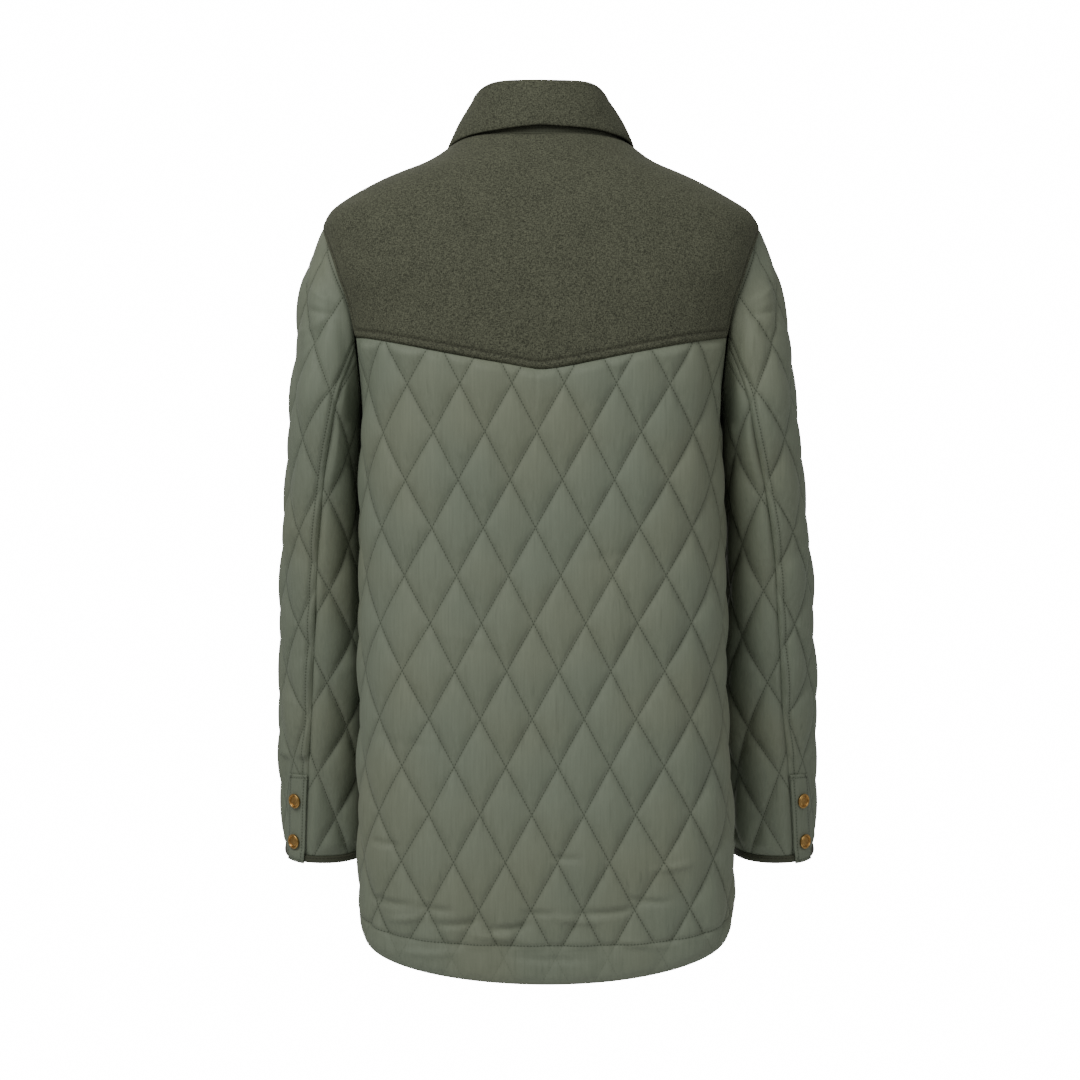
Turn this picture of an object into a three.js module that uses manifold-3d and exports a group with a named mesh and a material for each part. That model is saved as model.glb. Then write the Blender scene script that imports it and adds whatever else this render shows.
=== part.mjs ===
// A quilted jacket with a wool yoke and collar, filled out as it hangs on a figure, closed down the front.
// Units are millimetres. +Z is up, the wearer faces -Y, and the wearer's left is +X.
// The origin is the middle of the neck opening, level with the collar seam at the back.
import * as THREE from "three";
import Module from "manifold-3d";
import { mergeVertices } from "three/addons/utils/BufferGeometryUtils.js";

const wasm = await Module();
wasm.setup();

// Driving sizes
const seamGap = 0.3;
const quiltWidth = 50;
const quiltHeight = 92;
const quiltRise = 4.5;
const quiltFullness = 0.22;
const quiltShift = 4;
const quiltDrift = 0.025;
const sideStretch = 0.12;
const sideStart = 100;
const wallInside = 2.5;
const yokeRise = 1.2;
const yokeInside = 1.8;
const collarWall = 2.6;
const standWall = 1.6;
const standHeight = 13;
const placketHalf = 18;
const placketWall = 2.5;
const tabWidth = 24;
const tabWall = 2;
const tabTop = -631;
const bindingHeight = 7;
const bindingRise = 1.2;
const snapRadius = 7.5;
const snapHeight = 3;
const frontSnaps = { count: 6, top: -100, step: 112 };
const cuffSnapHeights = [-658, -700];
const columnStep = quiltWidth / 2;
const rowStep = quiltHeight / 2;

// Heights and places of the seams
const outerSkin = 0.01;
const placketGap = 0.5;
const bodyCrossing = -291;
const topCrossing = -295;
const underCrossing = -353;
const sleeveHalfRound = 165;
const sleeveTop = -80;
const armholeBottom = -262;
const armholeGap = 1.1;
const hemDrop = 82;
const hemCorner = -740;
const hemHalfWidth = 246;
const frontHem = -757;
const frontCorner = 60;
const frontHalfWidth = 268;
const ventTop = -690;
const ventSpread = 0.045;
const yokePoint = -232;
const yokeSlope = 0.2;
const shoulderSeam = -33;
const sideSeamTop = -200;
const neck = { half: 92, back: 62, front: 85 };
const collarInset = 4.4;
const collarFold = 3;
const collarBulge = 5;
const collarOpening = 0.012;
const foldStart = 0.36;
const foldEnd = 0.55;
const cuffBack = -721;
const cuffBackDepth = -50;
const cuffTilt = 0.2;
const tabEnd = -1;

// How far the quilting takes to rise from a seam, and how much of a narrow gap it may fill from each side
const closeShare = 0.3;
const armholeFlat = 10;
const armholeFade = 18;
const cuffFade = 16;
const seamFade = 10;

// Horizontal sections of the body, from the neck down. half is half the width, back and front the depths
// from the side seam, round and ahead the exponents of its back and front corners, and centre its lean.
const bodyRows = [
  { z: 14, half: 70, back: 50, front: 34, round: 2.1, ahead: 2.1, centre: 0 },
  { z: 2, half: 82, back: 61, front: 42, round: 2.1, ahead: 2.1, centre: 0 },
  { z: -9, half: 97, back: 69, front: 48, round: 2.1, ahead: 2.1, centre: 0 },
  { z: -21, half: 120, back: 77, front: 55, round: 2.2, ahead: 2.2, centre: 0 },
  { z: -33, half: 147, back: 84, front: 62, round: 2.3, ahead: 2.3, centre: 0 },
  { z: -45, half: 175, back: 90, front: 69, round: 2.4, ahead: 2.4, centre: 0 },
  { z: -57, half: 195, back: 95, front: 75, round: 2.5, ahead: 2.5, centre: 0 },
  { z: -72, half: 212, back: 101, front: 82, round: 2.7, ahead: 2.7, centre: 0 },
  { z: -90, half: 215, back: 107, front: 91, round: 2.8, ahead: 2.8, centre: 0 },
  { z: -134, half: 207, back: 118, front: 108, round: 3.0, ahead: 3.0, centre: 0 },
  { z: -167, half: 195, back: 122, front: 119, round: 3.0, ahead: 3.0, centre: 0 },
  { z: -200, half: 187, back: 124, front: 127, round: 3.0, ahead: 2.9, centre: 0 },
  { z: -262, half: 177, back: 122, front: 131, round: 3.0, ahead: 2.6, centre: 0 },
  { z: -400, half: 178, back: 110, front: 121, round: 3.0, ahead: 2.5, centre: -1 },
  { z: -550, half: 179, back: 106, front: 119, round: 3.0, ahead: 2.5, centre: -2 },
  { z: -700, half: 183, back: 104, front: 119, round: 3.0, ahead: 2.5, centre: -5 },
  { z: -850, half: 184, back: 97, front: 115, round: 3.0, ahead: 2.5, centre: -6 },
];

// Horizontal sections of the wearer's left sleeve, from the shoulder tip down. outer is the far side's x,
// half is half the width, depth half the depth and middle its y. seam is the back seam's angle from straight
// back towards the outside, in degrees. spread is how much further out the right sleeve hangs. top and under
// are where the quilting of the top sleeve and of the under sleeve has its first column of crossings, in
// millimetres from straight back.
const sleeveRows = [
  { z: -70, outer: 211, half: 12, depth: 5, middle: -2, seam: -26, spread: 0, top: 20, under: -8 },
  { z: -80, outer: 216, half: 20, depth: 20, middle: -2, seam: -26, spread: 0, top: 20, under: -8 },
  { z: -92, outer: 220, half: 26, depth: 34, middle: -2, seam: -26, spread: 0, top: 20, under: -8 },
  { z: -106, outer: 225, half: 30, depth: 46, middle: -2, seam: -26, spread: 0, top: 20, under: -8 },
  { z: -134, outer: 232, half: 36, depth: 57, middle: -2, seam: -26, spread: 0, top: 20, under: -8 },
  { z: -167, outer: 237.5, half: 39, depth: 64, middle: -3, seam: -26, spread: 1, top: 20, under: -8 },
  { z: -191, outer: 240, half: 39, depth: 67, middle: -4, seam: -26, spread: 3, top: 20, under: -8 },
  { z: -237, outer: 243.5, half: 36, depth: 70, middle: -7, seam: -14, spread: 5, top: 21, under: -8 },
  { z: -262, outer: 245.5, half: 33.8, depth: 71, middle: -10, seam: -10, spread: 6, top: 22, under: -8 },
  { z: -330, outer: 252, half: 33, depth: 67, middle: -25, seam: -4, spread: 8, top: 23, under: -8 },
  { z: -395, outer: 257, half: 37.5, depth: 63, middle: -40, seam: 1, spread: 10, top: 24, under: -8 },
  { z: -455, outer: 261, half: 41.5, depth: 60, middle: -52, seam: 5, spread: 11, top: 25, under: -8 },
  { z: -520, outer: 263, half: 44, depth: 58, middle: -64, seam: 9, spread: 12, top: 23, under: -5 },
  { z: -585, outer: 264, half: 44.5, depth: 55, middle: -74, seam: 13, spread: 13, top: 14, under: 0 },
  { z: -650, outer: 262, half: 42.5, depth: 50, middle: -84, seam: 19, spread: 16, top: 9, under: 8 },
  { z: -740, outer: 261, half: 41, depth: 46, middle: -96, seam: 25, spread: 18, top: 2, under: 18 },
];

// A column of a table at any height: a cubic curve through the rows.
function column(rows, name, z) {
  const last = rows.length - 1;
  let k = 0;
  while (k < last - 1 && z < rows[k + 1].z) k += 1;
  const slope = (i) => {
    const a = rows[Math.max(i - 1, 0)];
    const b = rows[Math.min(i + 1, last)];
    return (b[name] - a[name]) / (b.z - a.z);
  };
  const span = rows[k + 1].z - rows[k].z;
  const t = Math.min(Math.max((z - rows[k].z) / span, 0), 1);
  const rest = 1 - t;
  return (
    rows[k][name] * (1 + 2 * t) * rest * rest +
    slope(k) * span * t * rest * rest +
    rows[k + 1][name] * t * t * (3 - 2 * t) -
    slope(k + 1) * span * t * t * rest
  );
}

const radians = THREE.MathUtils.degToRad;
const ease = (t) => THREE.MathUtils.smoothstep(t, 0, 1);

// A tube of horizontal sections. Angles and arc lengths run from the back (+Y) towards the outside.
class Tube {
  constructor(sectionAt, side) {
    this.sectionAt = sectionAt;
    this.side = side;
    this.tables = new Map();
  }

  // The point at an angle round the section's middle.
  atAngle(z, angle) {
    const c = this.sectionAt(z);
    const cosine = Math.cos(angle);
    const sine = Math.sin(angle);
    const depth = cosine > 0 ? c.back : c.front;
    const round = cosine > 0 ? c.round : c.ahead;
    const radius = (Math.abs(cosine / depth) ** round + Math.abs(sine / c.half) ** round) ** (-1 / round);
    return new THREE.Vector3(this.side * (c.x + radius * sine), c.y + radius * cosine, z);
  }

  // Arc lengths at even angles over half of a section.
  table(z) {
    if (!this.tables.has(z)) {
      const steps = 90;
      const lengths = [0];
      let before = this.atAngle(z, 0);
      for (let i = 1; i <= steps; i += 1) {
        const now = this.atAngle(z, (Math.PI * i) / steps);
        lengths.push(lengths[i - 1] + now.distanceTo(before));
        before = now;
      }
      this.tables.set(z, lengths);
    }
    return this.tables.get(z);
  }

  // The arc length from the back to the front of the section.
  halfRound(z) {
    return this.table(z).at(-1);
  }

  // The angle at an arc length, which may run on past the front.
  angleAt(z, arc) {
    const lengths = this.table(z);
    const half = lengths.at(-1);
    const turns = Math.round(arc / (2 * half));
    const inside = arc - turns * 2 * half;
    const size = Math.min(Math.abs(inside), half);
    let i = 1;
    while (lengths[i] < size) i += 1;
    const part = (size - lengths[i - 1]) / (lengths[i] - lengths[i - 1]);
    const angle = (Math.PI * (i - 1 + part)) / (lengths.length - 1);
    return Math.sign(inside) * angle + turns * 2 * Math.PI;
  }

  // The arc length at an angle within half a turn either way.
  arcAt(z, angle) {
    const lengths = this.table(z);
    const place = (Math.min(Math.abs(angle), Math.PI) / Math.PI) * (lengths.length - 1);
    const i = Math.min(Math.floor(place), lengths.length - 2);
    return Math.sign(angle) * THREE.MathUtils.lerp(lengths[i], lengths[i + 1], place - i);
  }

  // The point at an arc length, moved out along the surface's normal.
  at(z, arc, out = 0) {
    const point = this.atAngle(z, this.angleAt(z, arc));
    return out === 0 ? point : point.addScaledVector(this.normal(z, this.angleAt(z, arc)), out);
  }

  // The outward normal at an angle.
  normal(z, angle) {
    const turn = 0.01;
    const rise = 0.5;
    const round = this.atAngle(z, angle + turn).sub(this.atAngle(z, angle - turn));
    const up = this.atAngle(z + rise, angle).sub(this.atAngle(z - rise, angle));
    return up.cross(round).normalize().multiplyScalar(this.side);
  }
}

const body = new Tube((z) => {
  const read = (name) => column(bodyRows, name, z);
  return {
    x: read("centre"),
    y: 0,
    half: read("half"),
    back: read("back"),
    front: read("front"),
    round: read("round"),
    ahead: read("ahead"),
  };
}, 1);

const sleeveRound = 2.15;

function sleeveTube(side) {
  return new Tube((z) => {
    const read = (name) => column(sleeveRows, name, z);
    const half = read("half");
    const depth = read("depth");
    const out = side < 0 ? read("spread") : 0;
    return {
      x: read("outer") + out - half,
      y: read("middle"),
      half,
      back: depth,
      front: depth,
      round: sleeveRound,
      ahead: sleeveRound,
    };
  }, side);
}

const sleeves = { left: sleeveTube(1), right: sleeveTube(-1) };

// How far a point lies outside a tube, as a rough distance in millimetres.
function outside(tube, p) {
  const c = tube.sectionAt(p.z);
  const dx = p.x * tube.side - c.x;
  const dy = p.y - c.y;
  const depth = dy > 0 ? c.back : c.front;
  const round = dy > 0 ? c.round : c.ahead;
  const size = (Math.abs(dx / c.half) ** round + Math.abs(dy / depth) ** round) ** (1 / round);
  return (1 - 1 / Math.max(size, 0.01)) * Math.hypot(dx, dy);
}

// A closed solid from points and triangles, turned so that its faces point out.
function solidOf(points, triangles) {
  const vertProperties = new Float32Array(points.flatMap((p) => [p.x, p.y, p.z]));
  const make = (list) => {
    const triVerts = new Uint32Array(list.flat());
    return new wasm.Manifold(new wasm.Mesh({ numProp: 3, vertProperties, triVerts }));
  };
  const solid = make(triangles);
  return solid.volume() > 0 ? solid : make(triangles.map(([a, b, c]) => [a, c, b]));
}

// A three.js geometry as a solid.
function solidOfGeometry(geometry) {
  const bare = new THREE.BufferGeometry().setAttribute("position", geometry.getAttribute("position"));
  if (geometry.index) bare.setIndex(geometry.index);
  const merged = mergeVertices(bare, 1e-4);
  const place = merged.getAttribute("position");
  const pointAt = (_, i) => new THREE.Vector3().fromBufferAttribute(place, i);
  const points = Array.from({ length: place.count }, pointAt);
  const flat = Array.from(merged.index.array);
  const triangles = Array.from({ length: flat.length / 3 }, (_, i) => flat.slice(3 * i, 3 * i + 3));
  return solidOf(points, triangles);
}

// A wall between an outer and an inner surface over a grid. The inner surface has a point for every
// skipColumns columns and skipRows rows. A closed wall joins its last column to its first.
function wall({ columns, rows, outer, inner, skipColumns = 1, skipRows = 1, closed = false }) {
  const points = [];
  const triangles = [];
  const around = closed ? columns : columns + 1;
  for (let i = 0; i < around; i += 1) {
    for (let j = 0; j <= rows; j += 1) points.push(outer(i, j));
  }
  const innerStart = points.length;
  const innerRows = rows / skipRows + 1;
  for (let i = 0; i < around; i += skipColumns) {
    for (let j = 0; j <= rows; j += skipRows) points.push(inner(i, j));
  }
  const outerAt = (i, j) => (i % around) * (rows + 1) + j;
  const innerAt = (i, j) => innerStart + ((i % around) / skipColumns) * innerRows + j / skipRows;
  const cell = (a, b, c, d, evenDiagonal) => {
    if (evenDiagonal) triangles.push([a, b, c], [a, c, d]);
    else triangles.push([a, b, d], [b, c, d]);
  };
  for (let i = 0; i < columns; i += 1) {
    for (let j = 0; j < rows; j += 1) {
      const even = (i + j) % 2 === 0;
      cell(outerAt(i, j), outerAt(i + 1, j), outerAt(i + 1, j + 1), outerAt(i, j + 1), even);
    }
  }
  for (let i = 0; i < columns; i += skipColumns) {
    for (let j = 0; j < rows; j += skipRows) {
      const across = i + skipColumns;
      const along = j + skipRows;
      cell(innerAt(i, j), innerAt(i, along), innerAt(across, along), innerAt(across, j), true);
    }
  }
  // The rim along one side of the grid, a fan of outer edges to each inner point.
  const rim = (count, skip, outerPoint, innerPoint, forward) => {
    const add = (a, b, c) => triangles.push(forward ? [a, b, c] : [b, a, c]);
    for (let k = 0; k < count; k += skip) {
      for (let m = k; m < k + skip; m += 1) add(outerPoint(m), outerPoint(m + 1), innerPoint(k));
      add(innerPoint(k + skip), innerPoint(k), outerPoint(k + skip));
    }
  };
  rim(columns, skipColumns, (m) => outerAt(m, 0), (m) => innerAt(m, 0), false);
  rim(columns, skipColumns, (m) => outerAt(m, rows), (m) => innerAt(m, rows), true);
  if (!closed) {
    rim(rows, skipRows, (m) => outerAt(0, m), (m) => innerAt(0, m), true);
    rim(rows, skipRows, (m) => outerAt(columns, m), (m) => innerAt(columns, m), false);
  }
  return solidOf(points, triangles);
}

// A solid filling a tube between two heights, grown outwards by a little.
function plug(tube, top, bottom, grow, columns, rowHeight) {
  const rows = Math.ceil((top - bottom) / rowHeight);
  const points = [];
  const triangles = [];
  for (let j = 0; j <= rows; j += 1) {
    const z = top + ((bottom - top) * j) / rows;
    for (let i = 0; i < columns; i += 1) {
      const angle = (2 * Math.PI * i) / columns;
      points.push(tube.atAngle(z, angle).addScaledVector(tube.normal(z, angle), grow));
    }
  }
  const first = points.length;
  const middle = (z) => {
    const c = tube.sectionAt(z);
    return new THREE.Vector3(tube.side * c.x, c.y, z);
  };
  points.push(middle(top), middle(bottom));
  for (let i = 0; i < columns; i += 1) {
    const next = (i + 1) % columns;
    const end = rows * columns;
    for (let j = 0; j < rows; j += 1) {
      const a = j * columns + i;
      const b = j * columns + next;
      triangles.push([a, b, b + columns], [a, b + columns, a + columns]);
    }
    triangles.push([first, next, i], [first + 1, end + i, end + next]);
  }
  return solidOf(points, triangles);
}

// How far the quilting stands out at a place on the cloth, 0 on its stitch lines and 1 amid a diamond.
function puff(across, up) {
  const p = across / quiltWidth;
  const q = up / quiltHeight;
  const product = Math.abs(Math.sin(Math.PI * (p + q)) * Math.sin(Math.PI * (p - q)));
  return product < 1e-6 ? 0 : product ** quiltFullness;
}

// The heights of a wall's rows, with some to every half diamond. Their count less one is a multiple of 4.
function rowHeights(crossing, top, bottom, steps) {
  const step = rowStep / steps;
  const gridTop = crossing + step * Math.ceil((top - crossing) / step);
  const count = 4 * Math.ceil((gridTop - bottom) / step / 4);
  return Array.from({ length: count + 1 }, (_, j) => Math.min(gridTop - j * step, top));
}

// A quilted wall over a tube, its grid set out from a crossing of the stitch lines. first and last count
// half diamonds from that crossing, steps is how many points each has, arcAt turns a distance from it into
// the tube's arc length, and flatten lowers the quilting at seams.
function quiltedWall({ tube, first, last, top, bottom, crossing, steps, arcAt, flatten }) {
  const heights = rowHeights(crossing, top, bottom, steps);
  const acrossAt = (i) => (first + i / steps) * columnStep;
  const heightAt = (j) => heights[j];
  const place = (i, j, out) => {
    const z = heightAt(j);
    return tube.at(z, arcAt(acrossAt(i), z), out);
  };
  return wall({
    columns: steps * (last - first),
    rows: heights.length - 1,
    outer: (i, j) => {
      const rise = quiltRise * puff(acrossAt(i), heightAt(j) - crossing);
      return place(i, j, outerSkin + rise * flatten(place(i, j, 0)));
    },
    inner: (i, j) => place(i, j, -wallInside),
    skipColumns: steps,
    skipRows: 2 * steps,
  });
}

// A block between two corners.
function block(low, high) {
  const size = high.map((v, i) => v - low[i]);
  const geometry = new THREE.BoxGeometry(...size);
  geometry.translate(...low.map((v, i) => v + size[i] / 2));
  return solidOfGeometry(geometry);
}

// An outline in the XZ plane run through along Y, between two depths.
function prismAlongY(outline, from, to) {
  const shape = new THREE.Shape(outline.map(([x, z]) => new THREE.Vector2(x, z)));
  const geometry = new THREE.ExtrudeGeometry(shape, { depth: to - from, bevelEnabled: false });
  geometry.rotateX(Math.PI / 2);
  geometry.translate(0, to, 0);
  return solidOfGeometry(geometry);
}

// How far the cutting solids reach
const reach = 400;
const ceiling = 60;
const floor = -960;

// The body's outline solid and the sleeves' outline solids, which cut each other's pieces at the armholes.
const bodyPlug = plug(body, 10, -330, seamGap, 44, 18);
const sleevePlugs = Object.values(sleeves).map((tube) => plug(tube, -70, -330, armholeGap, 28, 18));
const notInSleeves = (solid) => sleevePlugs.reduce((left, cutter) => left.subtract(cutter), solid);

// The height of the yoke's lower edge, pointed in the middle of the back.
const yokeEdge = (x) => yokePoint + yokeSlope * Math.abs(x);

// The solid above the yoke's lower edge.
function aboveYoke(gap) {
  const end = yokeEdge(reach) + gap;
  const outline = [[-reach, end], [0, yokePoint + gap], [reach, end], [reach, ceiling], [-reach, ceiling]];
  return prismAlongY(outline, -reach, reach);
}

// The neckline's plan, an ellipse, at an angle from the back, moved out by a little.
function necklineAt(angle, out = 0) {
  const across = neck.half + out;
  const deep = (neck.back + neck.front) / 2 + out;
  const middle = (neck.back - neck.front) / 2;
  return new THREE.Vector2(across * Math.sin(angle), middle + deep * Math.cos(angle));
}

// The neck opening, an upright tube with the neckline's plan.
function neckPlug() {
  const count = 48;
  const points = Array.from({ length: count }, (_, i) => necklineAt((2 * Math.PI * i) / count));
  const shape = new THREE.Shape(points);
  const geometry = new THREE.ExtrudeGeometry(shape, { depth: reach, bevelEnabled: false });
  geometry.translate(0, 0, -reach / 2);
  return solidOfGeometry(geometry);
}

// What lies below a hem: a thick slab under a curve given along the arc from the back or the front.
function belowHem(hemAt, arcAt, halfWidth) {
  const columns = 36;
  const deep = 25;
  const place = (i, j, out) => {
    const across = -halfWidth + (2 * halfWidth * i) / columns;
    const z = j === 0 ? hemAt(across) : floor;
    return body.at(z, arcAt(across, z), out);
  };
  return wall({
    columns,
    rows: 1,
    outer: (i, j) => place(i, j, deep),
    inner: (i, j) => place(i, j, -deep),
  });
}

const fromBack = (across) => across;

// The back's quilting drifts sideways on its way down, and is stretched a little towards the side seams.
function backQuilting(across, z) {
  const stretch = sideStretch * Math.max(Math.abs(across) - sideStart, 0) * Math.sign(across);
  return across + stretch + quiltShift + quiltDrift * (bodyCrossing - z);
}

const fromFront = (across, z) => (across < 0 ? -1 : 1) * (body.halfRound(z) - Math.abs(across));

// The back's hem is half an ellipse. Past its ends the cloth stops at the side vents.
function backHem(across) {
  const part = Math.min(Math.abs(across) / hemHalfWidth, 1);
  return hemCorner - hemDrop * Math.sqrt(1 - part * part);
}

// The fronts' hem is level, with a rounded corner at each side vent.
function frontHemAt(across) {
  const fromSide = body.halfRound(frontHem) / 2 - Math.abs(across);
  const part = Math.min(Math.max(1 - fromSide / frontCorner, 0), 1);
  return frontHem + frontCorner * (1 - Math.sqrt(1 - part * part));
}

// The open slits at the bottom of the side seams.
function ventSlits() {
  const spread = seamGap / 2 + ventSpread * (ventTop - floor);
  const outline = [[0, ventTop], [spread, floor], [-spread, floor]];
  const shape = new THREE.Shape(outline.map(([y, z]) => new THREE.Vector2(y, z)));
  const geometry = new THREE.ExtrudeGeometry(shape, { depth: 2 * reach, bevelEnabled: false });
  geometry.rotateX(Math.PI / 2);
  geometry.rotateZ(Math.PI / 2);
  geometry.translate(-reach, 0, 0);
  return solidOfGeometry(geometry);
}

// The quilting lies flat at an armhole and low where a sleeve and the body hang close to each other.
function flattenBeside(tube, p) {
  const distance = Math.max(outside(tube, p), 0);
  const past = Math.max(distance, armholeBottom - p.z) - armholeFlat;
  const armhole = ease(past / armholeFade);
  return armhole * Math.min((closeShare * distance) / quiltRise, 1);
}

// The quilting lies flat at the armholes, the yoke and the front opening.
function bodyFlatten(p) {
  const yoke = p.y > 0 ? ease((yokeEdge(p.x) - p.z) / seamFade) : 1;
  const opening = p.y < 0 ? ease((Math.abs(p.x) - columnStep - seamFade) / seamFade) : 1;
  return flattenBeside(p.x > 0 ? sleeves.left : sleeves.right, p) * yoke * opening;
}

const vents = ventSlits();
const neckOpening = neckPlug();

function makeBack() {
  const cloth = quiltedWall({
    tube: body,
    first: -12,
    last: 12,
    top: bodyCrossing + quiltHeight + rowStep / 2,
    bottom: hemCorner - hemDrop,
    crossing: bodyCrossing,
    steps: 2,
    arcAt: backQuilting,
    flatten: bodyFlatten,
  });
  const behind = cloth.intersect(block([-reach, seamGap / 2, floor], [reach, reach, ceiling]));
  const belowYoke = behind.subtract(aboveYoke(-seamGap / 2));
  const hemmed = belowYoke.subtract(belowHem(backHem, fromBack, hemHalfWidth + quiltShift));
  return notInSleeves(hemmed.subtract(vents));
}

// The part of a wall that belongs to the fronts: ahead of the side seams, and of the yoke's seam above.
function aheadOfSeams(solid) {
  const low = block([-reach, -reach, floor], [reach, -seamGap / 2, sideSeamTop]);
  const high = block([-reach, -reach, sideSeamTop], [reach, shoulderSeam - seamGap / 2, ceiling]);
  const hemmed = solid.intersect(low.add(high)).subtract(belowHem(frontHemAt, fromFront, frontHalfWidth));
  return hemmed.subtract(neckOpening);
}

function makeFront(side) {
  const cloth = quiltedWall({
    tube: body,
    first: side > 0 ? -1 : -11,
    last: side > 0 ? 11 : 1,
    top: bodyCrossing + 3 * quiltHeight,
    bottom: frontHem,
    crossing: bodyCrossing,
    steps: 2,
    arcAt: fromFront,
    flatten: bodyFlatten,
  });
  const [near, far] = [side * seamGap, side * reach].sort((a, b) => a - b);
  const half = cloth.intersect(block([near, -reach, floor], [far, reach, ceiling]));
  return notInSleeves(aheadOfSeams(half).subtract(vents));
}

// The plain band over the front opening.
function makePlacket() {
  const heights = rowHeights(bodyCrossing, bodyCrossing + 3 * quiltHeight, frontHem, 2);
  const columns = 2;
  const place = (i, j, out) => {
    const z = heights[j];
    return body.at(z, fromFront(-placketHalf + (2 * placketHalf * i) / columns, z), out);
  };
  const band = wall({
    columns,
    rows: heights.length - 1,
    outer: (i, j) => place(i, j, placketGap + placketWall),
    inner: (i, j) => place(i, j, placketGap),
  });
  return aheadOfSeams(band);
}

// The woollen yoke, over the shoulders from the upper back to a seam ahead of them.
function makeYoke() {
  const columns = 24;
  const rows = 10;
  const sweep = radians(300);
  const top = bodyRows[0].z;
  const place = (i, j, out) => {
    const angle = sweep * (i / columns - 0.5);
    const z = top + (yokePoint - yokeInside - top) * (j / rows) ** 1.5;
    return body.atAngle(z, angle).addScaledVector(body.normal(z, angle), out);
  };
  const cloth = wall({
    columns,
    rows,
    outer: (i, j) => place(i, j, yokeRise),
    inner: (i, j) => place(i, j, -yokeInside),
    skipColumns: 2,
    skipRows: 2,
  });
  const region = aboveYoke(seamGap / 2).intersect(
    block([-reach, shoulderSeam + seamGap / 2, floor], [reach, reach, ceiling]),
  );
  return notInSleeves(cloth.intersect(region).subtract(neckOpening));
}

// The height of the body's surface over a place in plan.
function bodyHeight(x, y) {
  let high = bodyRows[0].z;
  let low = sideSeamTop;
  for (let i = 0; i < 30; i += 1) {
    const middle = (high + low) / 2;
    if (outside(body, new THREE.Vector3(x, y, middle)) > 0) high = middle;
    else low = middle;
  }
  return low;
}

// The collar, by the angle z from the back in degrees: fold and edge are heights above the neckline, lean is
// how far the fold lies inside the neckline, past how far the fall's edge lies outside it, and turn how far
// round the edge has run back from the fold.
const collarRows = [
  { z: 0, fold: 53, edge: 9, lean: 11, past: 3, turn: 0 },
  { z: 30, fold: 53, edge: 7, lean: 14, past: 3, turn: 0 },
  { z: 60, fold: 51, edge: 5, lean: 22, past: 3, turn: 0 },
  { z: 90, fold: 47, edge: 5, lean: 26, past: 5, turn: 1 },
  { z: 120, fold: 42, edge: 8, lean: 23, past: 11, turn: 5 },
  { z: 150, fold: 38, edge: 12, lean: 18, past: 16, turn: 14 },
  { z: 180, fold: 35, edge: 13, lean: 15, past: 18, turn: 26 },
].reverse();

// A point of the collar's middle surface. across runs from 0 at the seam inside the neck, up the leg, over
// the fold and down the fall to 1 at its edge.
function collarAt(angle, across) {
  const side = angle < 0 ? -1 : 1;
  const turned = Math.min(Math.abs(angle), Math.PI - collarOpening);
  const read = (name) => column(collarRows, name, THREE.MathUtils.radToDeg(turned));
  const plan = (a, out) => {
    const p = necklineAt(a, out);
    return new THREE.Vector3(p.x, p.y, 0);
  };
  const seam = plan(turned, 0);
  const base = bodyHeight(seam.x, seam.y);
  const leg = plan(turned, -collarInset).setZ(base - wallInside);
  const fold = plan(turned, -read("lean")).setZ(base + read("fold") - collarFold);
  const fall = plan(turned, -read("lean") + 2 * collarFold).setZ(fold.z);
  const edge = plan(turned - radians(read("turn")), read("past"));
  const ahead = ease((THREE.MathUtils.radToDeg(turned) - 90) / 60);
  const under = THREE.MathUtils.lerp(base, bodyHeight(edge.x, edge.y), ahead);
  edge.setZ(under + read("edge"));
  let point;
  if (across < foldStart) {
    point = leg.lerp(fold, across / foldStart);
  } else if (across < foldEnd) {
    const turn = (Math.PI * (across - foldStart)) / (foldEnd - foldStart);
    const middle = fold.clone().lerp(fall, 0.5);
    const out = fall.clone().sub(middle);
    point = middle.addScaledVector(out, -Math.cos(turn));
    point.z += collarFold * Math.sin(turn);
  } else {
    const part = (across - foldEnd) / (1 - foldEnd);
    const out = fall.clone().sub(fold).normalize();
    point = fall.lerp(edge, part).addScaledVector(out, 4 * collarBulge * part * (1 - part));
  }
  return point.setX(point.x * side);
}

// A wall either side of a middle surface given by an angle and a place across.
function wallAround({ columns, rows, at, half }) {
  const span = Math.PI - collarOpening;
  const place = (i, j, out) => {
    const angle = span * ((2 * i) / columns - 1);
    const across = j / rows;
    const step = 0.01;
    const clamp = (a) => Math.min(Math.max(a, -span), span);
    const round = at(clamp(angle + step), across).sub(at(clamp(angle - step), across));
    const over = at(angle, Math.min(across + step, 1)).sub(at(angle, Math.max(across - step, 0)));
    const normal = over.cross(round).normalize();
    return at(angle, across).addScaledVector(normal, out);
  };
  return wall({ columns, rows, outer: (i, j) => place(i, j, half), inner: (i, j) => place(i, j, -half) });
}

const makeCollar = () => wallAround({ columns: 24, rows: 8, at: collarAt, half: collarWall / 2 });

// The collar's stand, a strip outside the collar's leg that shows between the neck seam and the fall.
function makeStand() {
  const at = (angle, across) => {
    const bottom = collarAt(angle, 0);
    const leg = collarAt(angle, foldStart / 2).sub(bottom).normalize();
    const out = necklineAt(Math.abs(angle), 1).sub(necklineAt(Math.abs(angle)));
    const apart = (collarWall + standWall) / 2 + 4 * seamGap;
    bottom.x += Math.sign(angle) * out.x * apart;
    bottom.y += out.y * apart;
    return bottom.addScaledVector(leg, wallInside + standHeight * across);
  };
  return wallAround({ columns: 24, rows: 1, at, half: standWall / 2 });
}

// The height of the cuff's edge at an angle round a sleeve, moved up by a little.
function cuffHeight(tube, angle, up) {
  let z = cuffBack;
  for (let i = 0; i < 4; i += 1) {
    z = cuffBack + up - cuffTilt * (tube.atAngle(z, angle).y - cuffBackDepth);
  }
  return z;
}

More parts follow.
